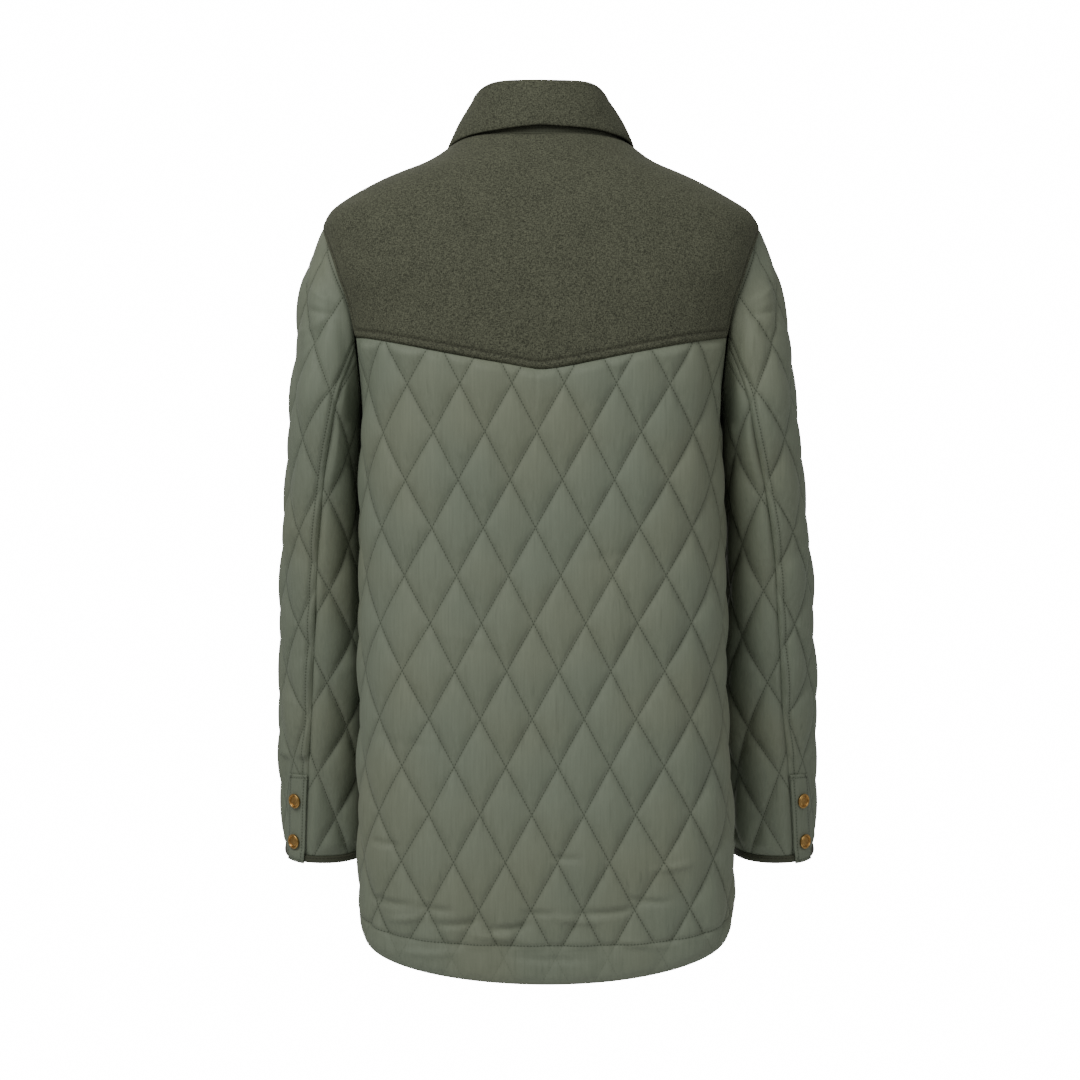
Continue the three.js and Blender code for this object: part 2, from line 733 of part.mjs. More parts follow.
// The solid below the plane of the cuff's edge, moved up by a little.
function belowCuff(up) {
  const at = (y) => cuffBack + up - cuffTilt * (y - cuffBackDepth);
  const outline = [[-reach, floor], [reach, floor], [reach, at(reach)], [-reach, at(-reach)]];
  const shape = new THREE.Shape(outline.map(([y, z]) => new THREE.Vector2(y, z)));
  const geometry = new THREE.ExtrudeGeometry(shape, { depth: 2 * reach, bevelEnabled: false });
  geometry.rotateX(Math.PI / 2);
  geometry.rotateZ(Math.PI / 2);
  geometry.translate(-reach, 0, 0);
  return solidOfGeometry(geometry);
}

// The back seam's angle on a sleeve. The front seam mirrors it.
const sleeveSeam = (z) => radians(column(sleeveRows, "seam", z));

// The wedge of a sleeve's space between its two seams, on the outer side, grown sideways by a little.
function outerWedge(tube, grow) {
  const rows = 36;
  const [top, bottom] = [sleeveRows[0].z + 5, sleeveRows.at(-1).z - 5];
  const points = [];
  const triangles = [];
  const corners = 4;
  for (let j = 0; j <= rows; j += 1) {
    const z = top + ((bottom - top) * j) / rows;
    const c = tube.sectionAt(z);
    const seam = sleeveSeam(z);
    const ray = (angle) => new THREE.Vector3(tube.side * Math.sin(angle), Math.cos(angle), 0);
    const middle = new THREE.Vector3(tube.side * (c.x - grow), c.y, z);
    const quarter = Math.PI / 2;
    const back = ray(seam).multiplyScalar(reach).addScaledVector(ray(seam - quarter), grow);
    const front = ray(Math.PI - seam).multiplyScalar(reach).addScaledVector(ray(3 * quarter - seam), grow);
    const outer = ray(quarter).multiplyScalar(2 * reach);
    points.push(middle, back.add(middle), outer.add(middle), front.add(middle));
  }
  for (let j = 0; j < rows; j += 1) {
    for (let k = 0; k < corners; k += 1) {
      const a = j * corners + k;
      const b = j * corners + ((k + 1) % corners);
      triangles.push([a, b, b + corners], [a, b + corners, a + corners]);
    }
  }
  const end = rows * corners;
  triangles.push([0, 2, 1], [0, 3, 2], [end, end + 1, end + 2], [end, end + 2, end + 3]);
  return solidOf(points, triangles);
}

// How far the quilting may rise beside a sleeve's cuff tab, from 1 well outside it to 0 under it.
function besideTab(tube, z, arc) {
  const fromSeam = arc - tube.arcAt(z, sleeveSeam(z));
  const beside = Math.max(-fromSeam, fromSeam - tabWidth) - columnStep;
  return ease(Math.max(beside, z - tabTop - rowStep) / seamFade);
}

// One of the two quilted pieces of a sleeve, the outer or the inner one.
function makeSleeve(side, isTop) {
  const tube = side > 0 ? sleeves.left : sleeves.right;
  const grain = isTop ? "top" : "under";
  const arcAt = (across, z) => {
    const full = across + column(sleeveRows, grain, z);
    return (full * tube.halfRound(z)) / sleeveHalfRound;
  };
  const flatten = (p) => {
    const angle = Math.atan2(p.x * side - tube.sectionAt(p.z).x, p.y - tube.sectionAt(p.z).y);
    const edge = ease((p.z - cuffHeight(tube, angle, bindingHeight)) / cuffFade);
    return flattenBeside(body, p) * edge * besideTab(tube, p.z, tube.arcAt(p.z, angle));
  };
  const cloth = quiltedWall({
    tube,
    first: isTop ? -3 : -9,
    last: isTop ? 8 : 2,
    top: isTop ? sleeveTop : underCrossing + 2 * quiltHeight,
    bottom: sleeveRows.at(-1).z,
    crossing: isTop ? topCrossing : underCrossing,
    steps: isTop ? 2 : 1,
    arcAt,
    flatten,
  });
  const wedge = outerWedge(tube, isTop ? -seamGap / 2 : seamGap / 2);
  const piece = isTop ? cloth.intersect(wedge) : cloth.subtract(wedge);
  return piece.subtract(bodyPlug).subtract(belowCuff(bindingHeight + seamGap));
}

// The binding round a cuff's edge.
function makeBinding(side) {
  const tube = side > 0 ? sleeves.left : sleeves.right;
  const columns = 26;
  const place = (i, j, out) => {
    const angle = (2 * Math.PI * i) / columns;
    const z = cuffHeight(tube, angle, bindingHeight * (1 - j));
    return tube.atAngle(z, angle).addScaledVector(tube.normal(z, angle), out);
  };
  return wall({
    columns,
    rows: 1,
    closed: true,
    outer: (i, j) => place(i, j, bindingRise),
    inner: (i, j) => place(i, j, -wallInside),
  });
}

// A point on a cuff tab, across from the seam and down its length, both from 0 to 1.
function tabAt(side, across, down, out) {
  const tube = side > 0 ? sleeves.left : sleeves.right;
  const angleAt = (z) => tube.angleAt(z, tube.arcAt(z, sleeveSeam(z)) + tabWidth * across);
  const bottom = cuffHeight(tube, angleAt(cuffBack), tabEnd);
  const z = THREE.MathUtils.lerp(tabTop, bottom, down);
  const overBinding = ease((bottom + 2 * bindingHeight - z) / (bindingHeight / 2));
  const lift = placketGap + overBinding * bindingRise;
  return tube.atAngle(z, angleAt(z)).addScaledVector(tube.normal(z, angleAt(z)), lift + out);
}

function makeTab(side) {
  const columns = 3;
  const rows = 12;
  return wall({
    columns,
    rows,
    outer: (i, j) => tabAt(side, i / columns, j / rows, tabWall),
    inner: (i, j) => tabAt(side, i / columns, j / rows, 0),
  });
}

// A snap's cap: a shallow dome with a raised rim.
function makeSnap() {
  const profile = [
    [0, 0], [snapRadius, 0], [snapRadius, snapHeight - 0.8], [snapRadius - 0.8, snapHeight],
    [snapRadius - 2, snapHeight - 0.6], [0, snapHeight - 0.4],
  ];
  return new THREE.LatheGeometry(profile.map(([x, y]) => new THREE.Vector2(x, y)), 10);
}

const root = new THREE.Group();
const finishes = {
  shell: new THREE.MeshStandardMaterial({ color: "#68705c", roughness: 0.8, metalness: 0 }),
  wool: new THREE.MeshStandardMaterial({ color: "#4c5040", roughness: 0.95, metalness: 0 }),
  trim: new THREE.MeshStandardMaterial({ color: "#3f4433", roughness: 0.9, metalness: 0 }),
  brass: new THREE.MeshStandardMaterial({ color: "#b07c2c", roughness: 0.35, metalness: 1 }),
};

// Adds a geometry to the group as a named mesh with its own material.
function addGeometry(name, geometry, finish) {
  const part = new THREE.Mesh(geometry, finishes[finish].clone());
  part.name = name;
  root.add(part);
  return part;
}

function addSolid(name, solid, finish) {
  const mesh = solid.getMesh();
  const geometry = new THREE.BufferGeometry();
  geometry.setAttribute("position", new THREE.BufferAttribute(mesh.vertProperties, 3));
  geometry.setIndex(new THREE.BufferAttribute(mesh.triVerts, 1));
  geometry.computeVertexNormals();
  addGeometry(name, geometry, finish);
}

// Adds a snap cap with its back at a place on the cloth, facing out.
function addSnap(name, place, outward) {
  const snap = addGeometry(name, makeSnap(), "brass");
  snap.position.copy(place).addScaledVector(outward, seamGap);
  snap.quaternion.setFromUnitVectors(new THREE.Vector3(0, 1, 0), outward);
}

addSolid("back", makeBack(), "shell");
addSolid("yoke", makeYoke(), "wool");
addSolid("collar", makeCollar(), "wool");
addSolid("collar_stand", makeStand(), "trim");
addSolid("front_placket", makePlacket(), "shell");

for (let i = 0; i < frontSnaps.count; i += 1) {
  const z = frontSnaps.top - i * frontSnaps.step;
  const place = body.at(z, body.halfRound(z), placketGap + placketWall);
  addSnap(`front_snap_${i + 1}`, place, body.normal(z, Math.PI));
}

for (const [name, side] of [["left", 1], ["right", -1]]) {
  addSolid(`front_${name}`, makeFront(side), "shell");
  addSolid(`sleeve_top_${name}`, makeSleeve(side, true), "shell");
  addSolid(`sleeve_under_${name}`, makeSleeve(side, false), "shell");
  addSolid(`cuff_binding_${name}`, makeBinding(side), "trim");
  addSolid(`cuff_tab_${name}`, makeTab(side), "shell");
  cuffSnapHeights.forEach((z, i) => {
    const down = (tabTop - z) / (tabTop - cuffBack);
    const place = tabAt(side, 0.5, down, tabWall);
    const outward = tabAt(side, 0.5, down, 2 * tabWall).sub(place).normalize();
    addSnap(`cuff_snap_${name}_${i + 1}`, place, outward);
  });
}

export default root;
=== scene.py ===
# %% [markdown]
# A quilted jacket with a woollen yoke and collar, seen from behind, filled out as if worn.
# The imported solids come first: they fix where every piece lies and how large it is.
# Each cell after that dresses one piece of cloth, as a surface worked out with numpy.
# Shapes are worked out in millimetres, as on a cutting table, and become metres in the meshes.

import bpy
import numpy as np
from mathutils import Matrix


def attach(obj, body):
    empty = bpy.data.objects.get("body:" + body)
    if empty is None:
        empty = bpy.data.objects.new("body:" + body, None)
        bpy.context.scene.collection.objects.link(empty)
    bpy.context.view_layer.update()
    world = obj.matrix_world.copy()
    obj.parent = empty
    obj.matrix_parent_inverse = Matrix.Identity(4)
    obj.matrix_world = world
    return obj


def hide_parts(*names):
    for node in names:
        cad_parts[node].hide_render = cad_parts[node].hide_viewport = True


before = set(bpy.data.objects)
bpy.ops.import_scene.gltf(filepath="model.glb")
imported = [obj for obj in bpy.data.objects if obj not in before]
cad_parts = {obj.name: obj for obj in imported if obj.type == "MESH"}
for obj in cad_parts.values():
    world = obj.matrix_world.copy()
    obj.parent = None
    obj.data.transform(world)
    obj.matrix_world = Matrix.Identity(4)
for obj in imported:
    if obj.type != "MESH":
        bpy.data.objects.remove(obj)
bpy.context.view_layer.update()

METRE = 0.001

# %% [markdown]
# The figure inside the jacket could be sculpted, but level sections are easier to measure and to repeat.
# Each row of a table is one section: its height, its half width and its depths.
# A cubic curve through each column gives the section at any height between the rows.

# %% Sections of the body and of a sleeve


def table(names, rows):
    """One array for each named column of a list of rows."""
    return dict(zip(names.split(), np.array(rows, float).T))


body_rows = table("z half back front round ahead centre", [
    (14, 70, 50, 34, 2.1, 2.1, 0),
    (2, 82, 61, 42, 2.1, 2.1, 0),
    (-9, 95, 69, 48, 2.1, 2.1, 0),
    (-21, 113.5, 77, 55, 2.2, 2.2, 1),
    (-33, 140.5, 84, 62, 2.3, 2.3, 2),
    (-45, 165.5, 90, 69, 2.4, 2.4, 3),
    (-57, 187.5, 95, 75, 2.5, 2.5, 3),
    (-72, 207.5, 101, 82, 2.7, 2.7, 1),
    (-90, 215, 107, 91, 2.8, 2.8, 0),
    (-134, 207, 118, 108, 3.0, 3.0, 0),
    (-167, 195, 122, 119, 3.0, 3.0, 0),
    (-200, 187, 124, 127, 3.0, 2.9, 0),
    (-262, 177, 122, 131, 3.0, 2.6, 0),
    (-400, 178, 110, 121, 3.0, 2.5, -1),
    (-550, 179, 106, 119, 3.0, 2.5, -2),
    (-700, 183, 104, 119, 3.0, 2.5, -5),
    (-850, 184, 97, 115, 3.0, 2.5, -6),
])

sleeve_rows = table("z outer half depth middle seam spread top under", [
    (-70, 205, 12, 5, -2, -26, 0, 20, -8),
    (-80, 213, 20, 20, -2, -26, 0, 20, -8),
    (-92, 220, 26, 34, -2, -26, 0, 20, -8),
    (-106, 225, 30, 46, -2, -26, 0, 20, -8),
    (-134, 232, 36, 57, -2, -26, 0, 20, -8),
    (-167, 237.5, 39, 64, -3, -26, 1, 20, -8),
    (-191, 240, 39, 67, -4, -26, 3, 20, -8),
    (-237, 243.5, 36, 70, -7, -14, 5, 21, -8),
    (-262, 245.5, 34.4, 71, -10, -10, 6, 22, -8),
    (-330, 252, 35.6, 67, -25, -4, 8, 23, -8),
    (-395, 257, 38.8, 63, -40, 1, 10, 24, -8),
    (-455, 261, 42.8, 60, -52, 5, 11, 25, -8),
    (-520, 263, 45.3, 58, -64, 9, 12, 23, -5),
    (-585, 264, 45.6, 55, -74, 13, 13, 14, 0),
    (-650, 262, 42.5, 50, -84, 19, 16, 9, 8),
    (-740, 261, 41, 46, -96, 25, 18, 2, 18),
])


def column(rows, name, z):
    """A table's column at any height: the cubic curve through its rows whose slope at each row is that of
    the line between the rows either side of it."""
    heights, values = rows["z"], rows[name]
    last = len(heights) - 1
    above, below = np.maximum(np.arange(last + 1) - 1, 0), np.minimum(np.arange(last + 1) + 1, last)
    slopes = (values[below] - values[above]) / (heights[below] - heights[above])
    k = np.clip(np.searchsorted(-heights, -np.asarray(z, float)) - 1, 0, last - 1)
    span = heights[k + 1] - heights[k]
    t = np.clip((z - heights[k]) / span, 0, 1)
    rest = 1 - t
    return (values[k] * (1 + 2 * t) * rest**2 + slopes[k] * span * t * rest**2
            + values[k + 1] * t**2 * (3 - 2 * t) - slopes[k + 1] * span * t**2 * rest)


print("sections:", len(body_rows["z"]), "of the body,", len(sleeve_rows["z"]), "of a sleeve")

# %% [markdown]
# The body and each sleeve are tubes through their level sections. A lofted surface would give the same shape,
# but a formula can also say where a point lies round the section, how long the cloth is from the back to
# there, and how far outside the tube any other point is. Every piece below asks those three things.

# %% A tube through the sections


def look_up(grid, row, place):
    """A grid read between its rows and columns, by weighting the four nearest values."""
    row = np.clip(row, 0, grid.shape[0] - 1.001)
    place = np.clip(place, 0, grid.shape[1] - 1.001)
    i, j = row.astype(int), place.astype(int)
    r, c = row - i, place - j
    return (1 - r) * ((1 - c) * grid[i, j] + c * grid[i, j + 1]) + r * (
        (1 - c) * grid[i + 1, j] + c * grid[i + 1, j + 1])


class Tube:
    """Level sections, each a superellipse: |x / half| to a power plus |y / depth| to the same power is 1.
    Angles and arc lengths run from straight back towards the outside, on side 1 or -1."""

    steps = 360
    level = 2.0
    lowest = -870.0

    def __init__(self, section, side=1):
        self.section, self.side = section, side
        heights = np.arange(self.lowest, 20, self.level)
        angles = np.linspace(0, np.pi, self.steps + 1)
        ring = self.at(heights[:, None], angles)
        strides = np.linalg.norm(np.diff(ring, axis=1), axis=2)
        self.lengths = np.cumsum(np.pad(strides, ((0, 0), (1, 0))), axis=1)
        shares = np.linspace(0, 1, self.steps + 1)
        self.angles = np.array([np.interp(shares * row[-1], row, angles) for row in self.lengths])

    def at(self, z, angle):
        """The points at an angle round the sections' middles."""
        z, angle = np.broadcast_arrays(np.asarray(z, float), np.asarray(angle, float))
        x, y, half, back, front, round_, ahead = self.section(z)
        sine, cosine = np.sin(angle), np.cos(angle)
        depth, power = np.where(cosine > 0, back, front), np.where(cosine > 0, round_, ahead)
        radius = (np.abs(cosine / depth) ** power + np.abs(sine / half) ** power) ** (-1 / power)
        return np.stack([self.side * (x + radius * sine), y + radius * cosine, z], axis=-1)

    def half_round(self, z):
        """The arc length from straight back to straight ahead."""
        return np.interp(z, self.lowest + self.level * np.arange(len(self.lengths)), self.lengths[:, -1])

    def arc(self, z, angle):
        """The arc length at an angle, which may run on past straight ahead."""
        size = np.abs(angle)
        inside = np.where(size > np.pi, 2 * np.pi - size, size)
        arc = look_up(self.lengths, (z - self.lowest) / self.level, inside / np.pi * self.steps)
        return np.sign(angle) * np.where(size > np.pi, 2 * self.half_round(z) - arc, arc)

    def angle(self, z, arc):
        """The angle at an arc length, the other way round."""
        whole = 2 * self.half_round(z)
        size = np.abs(arc)
        inside = np.where(size > whole / 2, whole - size, size)
        angle = look_up(self.angles, (z - self.lowest) / self.level, inside / (whole / 2) * self.steps)
        return np.sign(arc) * np.where(size > whole / 2, 2 * np.pi - angle, angle)

    def outside(self, p):
        """Roughly how far points lie outside the tube, in millimetres."""
        x, y, half, back, front, round_, ahead = self.section(p[..., 2])
        dx, dy = p[..., 0] * self.side - x, p[..., 1] - y
        depth, power = np.where(dy > 0, back, front), np.where(dy > 0, round_, ahead)
        size = (np.abs(dx / half) ** power + np.abs(dy / depth) ** power) ** (1 / power)
        return (1 - 1 / np.maximum(size, 0.01)) * np.hypot(dx, dy)


def body_section(z):
    """Middle, half width, depths and corner powers of the body at a height."""
    read = [column(body_rows, name, z) for name in ("centre", "half", "back", "front", "round", "ahead")]
    return [read[0], np.zeros_like(z), *read[1:]]


def sleeve_section(side):
    """The same for the sleeve on one side. The right one hangs a little further out, and under the arm it is
    fuller towards the body."""
    power = 2.15
    fuller, fullest, reach = 3.0, -300, 70

    def section(z):
        outer, half, depth, middle, spread = (
            column(sleeve_rows, name, z) for name in ("outer", "half", "depth", "middle", "spread"))
        out = spread if side < 0 else 0
        if side < 0:
            half = half + fuller * np.exp(-((z - fullest) / reach) ** 2)
        powers = np.full_like(z, power)
        return [outer + out - half, middle, half, depth, depth, powers, powers]

    return section


body = Tube(body_section)
sleeves = {1: Tube(sleeve_section(1), 1), -1: Tube(sleeve_section(-1), -1)}
print("chest, round:", round(2 * float(body.half_round(-262.0))), "mm")

# %% [markdown]
# Seams are where one piece of cloth ends. Most of them are simple in words: the armhole is where the body
# meets a sleeve, and the neck seam is where the body meets an upright ellipse.
# So an edge is found by walking up or down the surface until the words stop being true.
# A panel is then ruled between its upper and its lower edge, and its grid follows both.

# %% Seams and where they run
SEAM = 0.02
ARMHOLE_GAP, TUCK = 0.2, 0.6
YOKE_POINT, YOKE_SLOPE, POINT_ROUND = -232, 0.2, 8
SHOULDER_SEAM, SIDE_SEAM_TOP = -33, -200
HEM_CORNER, HEM_DROP, HEM_LEFT, HEM_RIGHT = -740, 83.5, 241, 230
FRONT_HEM, FRONT_CORNER = -757, 60
VENT_TOP, VENT_SPREAD = -690, 0.045
ARMHOLE_BOTTOM, PLUG_TOP, SLEEVE_TOP = -262, -68, -70
NECK_HALF, NECK_BACK, NECK_FRONT = 92, 62, 85
CUFF, CUFF_DEPTH, CUFF_TILT = -721, -50, 0.2
BINDING = 7


def ease(t):
    """0 below 0, 1 above 1, and a smooth step between."""
    t = np.clip(t, 0, 1)
    return t * t * (3 - 2 * t)


def yoke_edge(x):
    """The height of the yoke's lower edge: a shallow V with a rounded point."""
    return YOKE_POINT + YOKE_SLOPE * (np.hypot(x, POINT_ROUND) - POINT_ROUND)


def neckline(angle, out=0.0):
    """The neck seam's plan, an ellipse, moved out by a little."""
    deep, middle = (NECK_BACK + NECK_FRONT) / 2, (NECK_BACK - NECK_FRONT) / 2
    return (NECK_HALF + out) * np.sin(angle), middle + (deep + out) * np.cos(angle)


def off_neck(p):
    """Whether points lie outside the neck seam's plan."""
    deep, middle = (NECK_BACK + NECK_FRONT) / 2, (NECK_BACK - NECK_FRONT) / 2
    return np.hypot(p[..., 0] / NECK_HALF, (p[..., 1] - middle) / deep) > 1


def off_sleeves(p):
    """Whether points of the body lie clear of both sleeves."""
    clear = [sleeves[side].outside(p) > ARMHOLE_GAP for side in (1, -1)]
    return (p[..., 2] > PLUG_TOP) | (clear[0] & clear[1])


def walk(point, start, end, allowed, steps=500, halvings=14):
    """The heights at which, going from start to end, the points first break a rule: a ladder of even steps
    finds the step, and halving it finds the place."""
    start, end = np.broadcast_arrays(np.asarray(start, float), np.asarray(end, float))
    ladder = start + (end - start) * np.linspace(0, 1, steps)[:, None]
    fine = allowed(point(ladder))
    first = np.where(fine.all(axis=0), steps - 1, np.argmin(fine, axis=0))
    first = np.maximum(first, 1)[None]
    good = np.take_along_axis(ladder, first - 1, axis=0)[0]
    bad = np.take_along_axis(ladder, first, axis=0)[0]
    for _ in range(halvings):
        middle = (good + bad) / 2
        ok = allowed(point(middle))
        good, bad = np.where(ok, middle, good), np.where(ok, bad, middle)
    return good


def settle(height_at, start, rounds=8):
    """A height that depends on itself, found by putting it back in a few times."""
    z = start
    for _ in range(rounds):
        z = height_at(z)
    return z


def ruled(place, shares, top, bottom, columns, rows):
    """A panel's shares across and heights. Both edges are cut into columns of even length, and each column
    runs straight, in share and height, from the top edge to the bottom edge."""
    ends = []
    for heights in (top, bottom):
        edge = place(shares, heights)
        run = np.pad(np.cumsum(np.linalg.norm(np.diff(edge, axis=0), axis=1)), (1, 0))
        even = np.linspace(0, run[-1], columns + 1)
        ends.append((np.interp(even, run, shares), np.interp(even, run, heights)))
    down = np.linspace(0, 1, rows + 1)
    return [upper[:, None] * (1 - down) + lower[:, None] * down for upper, lower in zip(*ends)]


def respaced(place, edge, count):
    """An edge's shares and heights at places an even way apart in space."""
    run = np.linalg.norm(np.diff(place(*edge), axis=0), axis=1)
    run = np.pad(np.cumsum(run), (1, 0))
    even = np.linspace(0, run[-1], count + 1)
    return np.stack([np.interp(even, run, values) for values in edge])


def patched(place, top, bottom, near, far, columns, rows, fade=4):
    """A panel's shares across and heights, stretched between four edges. Rows run straight from the near
    edge to the far one, and bend as the upper and the lower edge do, less and less away from them."""
    upper, lower = (respaced(place, edge, columns)[:, :, None] for edge in (top, bottom))
    start, end = (respaced(place, edge, rows)[:, None, :] for edge in (near, far))
    u, v = np.linspace(0, 1, columns + 1)[None, :, None], np.linspace(0, 1, rows + 1)[None, None, :]
    straight = start * (1 - u) + end * u
    above = upper - upper[:, :1] * (1 - u) - upper[:, -1:] * u
    below = lower - lower[:, :1] * (1 - u) - lower[:, -1:] * u
    return straight + above * (1 - v) ** fade + below * v**fade


nape = walk(lambda z: body.at(z, np.zeros(1)), np.full(1, -57.0), 14, off_neck)
print("neck seam, behind:", np.round(nape, 1), "mm high")

# %% [markdown]
# A piece of cloth is a wall: an outer face, an inner face and a rim round the edge. A Solidify modifier makes
# one from a single face, but its inner side would then carry the quilting too. Here the outer grid is moved
# out by the relief, and a coarser, plain inner grid closes the wall, which keeps the triangles few.
# Two UV maps say where each point lies on the cloth and how far it is from a row of topstitching.

# %% Walls of cloth


def normals(base, closed=False):
    """Unit normals of a grid: the cross product of its steps along and across."""
    if closed:
        across = np.roll(base, -1, axis=0) - np.roll(base, 1, axis=0)
    else:
        across = np.gradient(base, axis=0)
    cross = np.cross(across, np.gradient(base, axis=1))
    return cross / np.maximum(np.linalg.norm(cross, axis=2, keepdims=True), 1e-9)


def wall_faces(columns, rows, skip, closed):
    """Quads over the outer grid, quads over an inner grid that keeps every skip-th point, and triangles
    round the rims, which fan from the inner points to the outer ones."""
    around = columns if closed else columns + 1
    inner_rows, start = rows // skip + 1, around * (rows + 1)
    outer = lambda i, j: (i % around) * (rows + 1) + j
    inner = lambda i, j: start + ((i % around) // skip) * inner_rows + j // skip
    i, j = (a.ravel() for a in np.meshgrid(np.arange(columns), np.arange(rows), indexing="ij"))
    shell = np.stack([outer(i, j), outer(i + 1, j), outer(i + 1, j + 1), outer(i, j + 1)], axis=1)
    i, j = (a.ravel() for a in np.meshgrid(
        np.arange(0, columns, skip), np.arange(0, rows, skip), indexing="ij"))
    lining = np.stack([
        inner(i, j), inner(i, j + skip), inner(i + skip, j + skip), inner(i + skip, j)], axis=1)
    rims = []

    def rim(count, outer_at, inner_at, forward):
        m, k = np.arange(count), np.arange(0, count, skip)
        fans = np.stack([outer_at(m), outer_at(m + 1), inner_at(m // skip * skip)], axis=1)
        closers = np.stack([inner_at(k + skip), inner_at(k), outer_at(k + skip)], axis=1)
        both = np.concatenate([fans, closers])
        rims.append(both if forward else both[:, ::-1])

    rim(columns, lambda m: outer(m, 0), lambda m: inner(m, 0), False)
    rim(columns, lambda m: outer(m, rows), lambda m: inner(m, rows), True)
    if not closed:
        rim(rows, lambda m: outer(0, m), lambda m: inner(0, m), True)
        rim(rows, lambda m: outer(columns, m), lambda m: inner(columns, m), False)
    return shell, lining, np.concatenate(rims)


def edge_field(points, line):
    """For every point, its distance to a line in space and how far along the line its nearest place is."""
    flat, line = points.reshape(-1, 3).astype(np.float32), np.asarray(line, np.float32)
    reach = (line**2).sum(axis=1) - 2 * flat @ line.T
    nearest = reach.argmin(axis=1)
    run = np.pad(np.cumsum(np.linalg.norm(np.diff(line, axis=0), axis=1)), (1, 0))
    best, along = np.full(len(flat), np.inf), np.zeros(len(flat))
    for k in (np.clip(nearest - 1, 0, len(line) - 2), np.clip(nearest, 0, len(line) - 2)):
        step = line[k + 1] - line[k]
        size = np.maximum((step**2).sum(axis=1), 1e-9)
        part = np.clip(((flat - line[k]) * step).sum(axis=1) / size, 0, 1)
        gap = np.linalg.norm(flat - line[k] - part[:, None] * step, axis=1)
        closer = gap < best
        best = np.where(closer, gap, best)
        along = np.where(closer, run[k] + part * np.sqrt(size), along)
    shape = points.shape[:-1]
    return best.reshape(shape), along.reshape(shape)


FAR = 1000.0


def topstitching(base, rows_of_stitches, sign=1):
    """Where the nearest row of topstitching is: how far off it a point lies, negative on the side of the
    edge, and how far along it. Each row is a line on the cloth and how far in from it the needle ran. A row
    on the line itself takes its sign from an array."""
    off, along = np.full(base.shape[:-1], FAR), np.zeros(base.shape[:-1])
    for line, aside in rows_of_stitches:
        gap, run = edge_field(base, line)
        gap = gap - aside if aside else gap * sign
        nearer = np.abs(gap) < np.abs(off)
        off, along = np.where(nearer, gap, off), np.where(nearer, run, along)
    return off, along


def cloth_piece(name, base, out, inside, cloth, stitches, finishes, skip=4, closed=False):
    """A closed wall of cloth on a grid of points: its outer face moved out by a height at each point, its
    inner face moved in. cloth and stitches are places for the two UV maps, in millimetres."""
    columns, rows = base.shape[0] - (0 if closed else 1), base.shape[1] - 1
    up = normals(base, closed)
    middle = base.reshape(-1, 3).mean(axis=0)
    if ((base - middle) * up).sum() < 0:
        up = -up
    outer = base + up * np.asarray(out)[..., None]
    inner = (base - up * inside)[::skip, ::skip]
    points = np.concatenate([outer.reshape(-1, 3), inner.reshape(-1, 3)]) * METRE
    shell, lining, rims = wall_faces(columns, rows, skip, closed)
    tips = points[rims[:, 0]], points[rims[:, 1]], points[rims[:, 2]]
    volume = (tips[0] * np.cross(tips[1], tips[2])).sum()
    for quads in (shell, lining):
        a, b, c, d = (points[quads[:, k]] for k in range(4))
        volume += (a * np.cross(b, c)).sum() + (a * np.cross(c, d)).sum()
    if volume < 0:
        shell, lining, rims = shell[:, ::-1], lining[:, ::-1], rims[:, ::-1]
    mesh = bpy.data.meshes.new(name)
    corners = np.concatenate([shell.ravel(), rims.ravel(), lining.ravel()]).astype(np.int32)
    sizes = np.concatenate([np.full(len(shell), 4), np.full(len(rims), 3), np.full(len(lining), 4)])
    mesh.vertices.add(len(points))
    mesh.vertices.foreach_set("co", points.astype(np.float32).ravel())
    mesh.loops.add(len(corners))
    mesh.polygons.add(len(sizes))
    mesh.polygons.foreach_set("loop_start", np.pad(np.cumsum(sizes)[:-1], (1, 0)).astype(np.int32))
    mesh.polygons.foreach_set("vertices", corners)
    is_lining = np.arange(len(sizes)) >= len(shell) + len(rims)
    mesh.polygons.foreach_set("material_index", is_lining.astype(np.int32))
    mesh.update(calc_edges=True)
    mesh.shade_smooth()
    for title, pair in (("cloth", cloth), ("topstitch", stitches)):
        flat = [np.concatenate([a.reshape(-1), a[::skip, ::skip].reshape(-1)]) * METRE for a in pair]
        layer = mesh.uv_layers.new(name=title)
        layer.uv.foreach_set("vector", np.stack(flat, axis=1)[corners].astype(np.float32).ravel())
    for finish in finishes:
        mesh.materials.append(finish)
    mesh.validate()
    piece = bpy.data.objects.new(name, mesh)
    bpy.context.scene.collection.objects.link(piece)
    return piece


def spans(base):
    """The size of the flat cloth: the longest row, the longest column and the whole area, in metres."""
    wide = np.linalg.norm(np.diff(base, axis=0), axis=2).sum(axis=0).max()
    tall = np.linalg.norm(np.diff(base, axis=1), axis=2).sum(axis=1).max()
    across, down = base[1:, :-1] - base[:-1, :-1], base[:-1, 1:] - base[:-1, :-1]
    area = np.linalg.norm(np.cross(across, down), axis=2).sum()
    return wide * METRE, tall * METRE, area * METRE**2


def dress(piece, base, nodes, flat=None):
    """Rides on the one body, stands for its solids, and says what size it was cut to."""
    wide, tall, area = spans(base)
    flat = flat or (wide, tall)
    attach(piece, "root")
    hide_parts(*nodes)
    min(area, flat[0] * flat[1])
    triangles = sum(len(p.vertices) - 2 for p in piece.data.polygons)
    print(f"{piece.name}: cut {flat[0]:.3f} x {flat[1]:.3f} m, {area:.4f} m2, {triangles} triangles")


# %% [markdown]
# Shader maths is easier to read as arithmetic than as a web of nodes.
# A small class wraps a socket, so that a plus sign adds a Math node, and one method makes every other node.

# %% Shader arithmetic


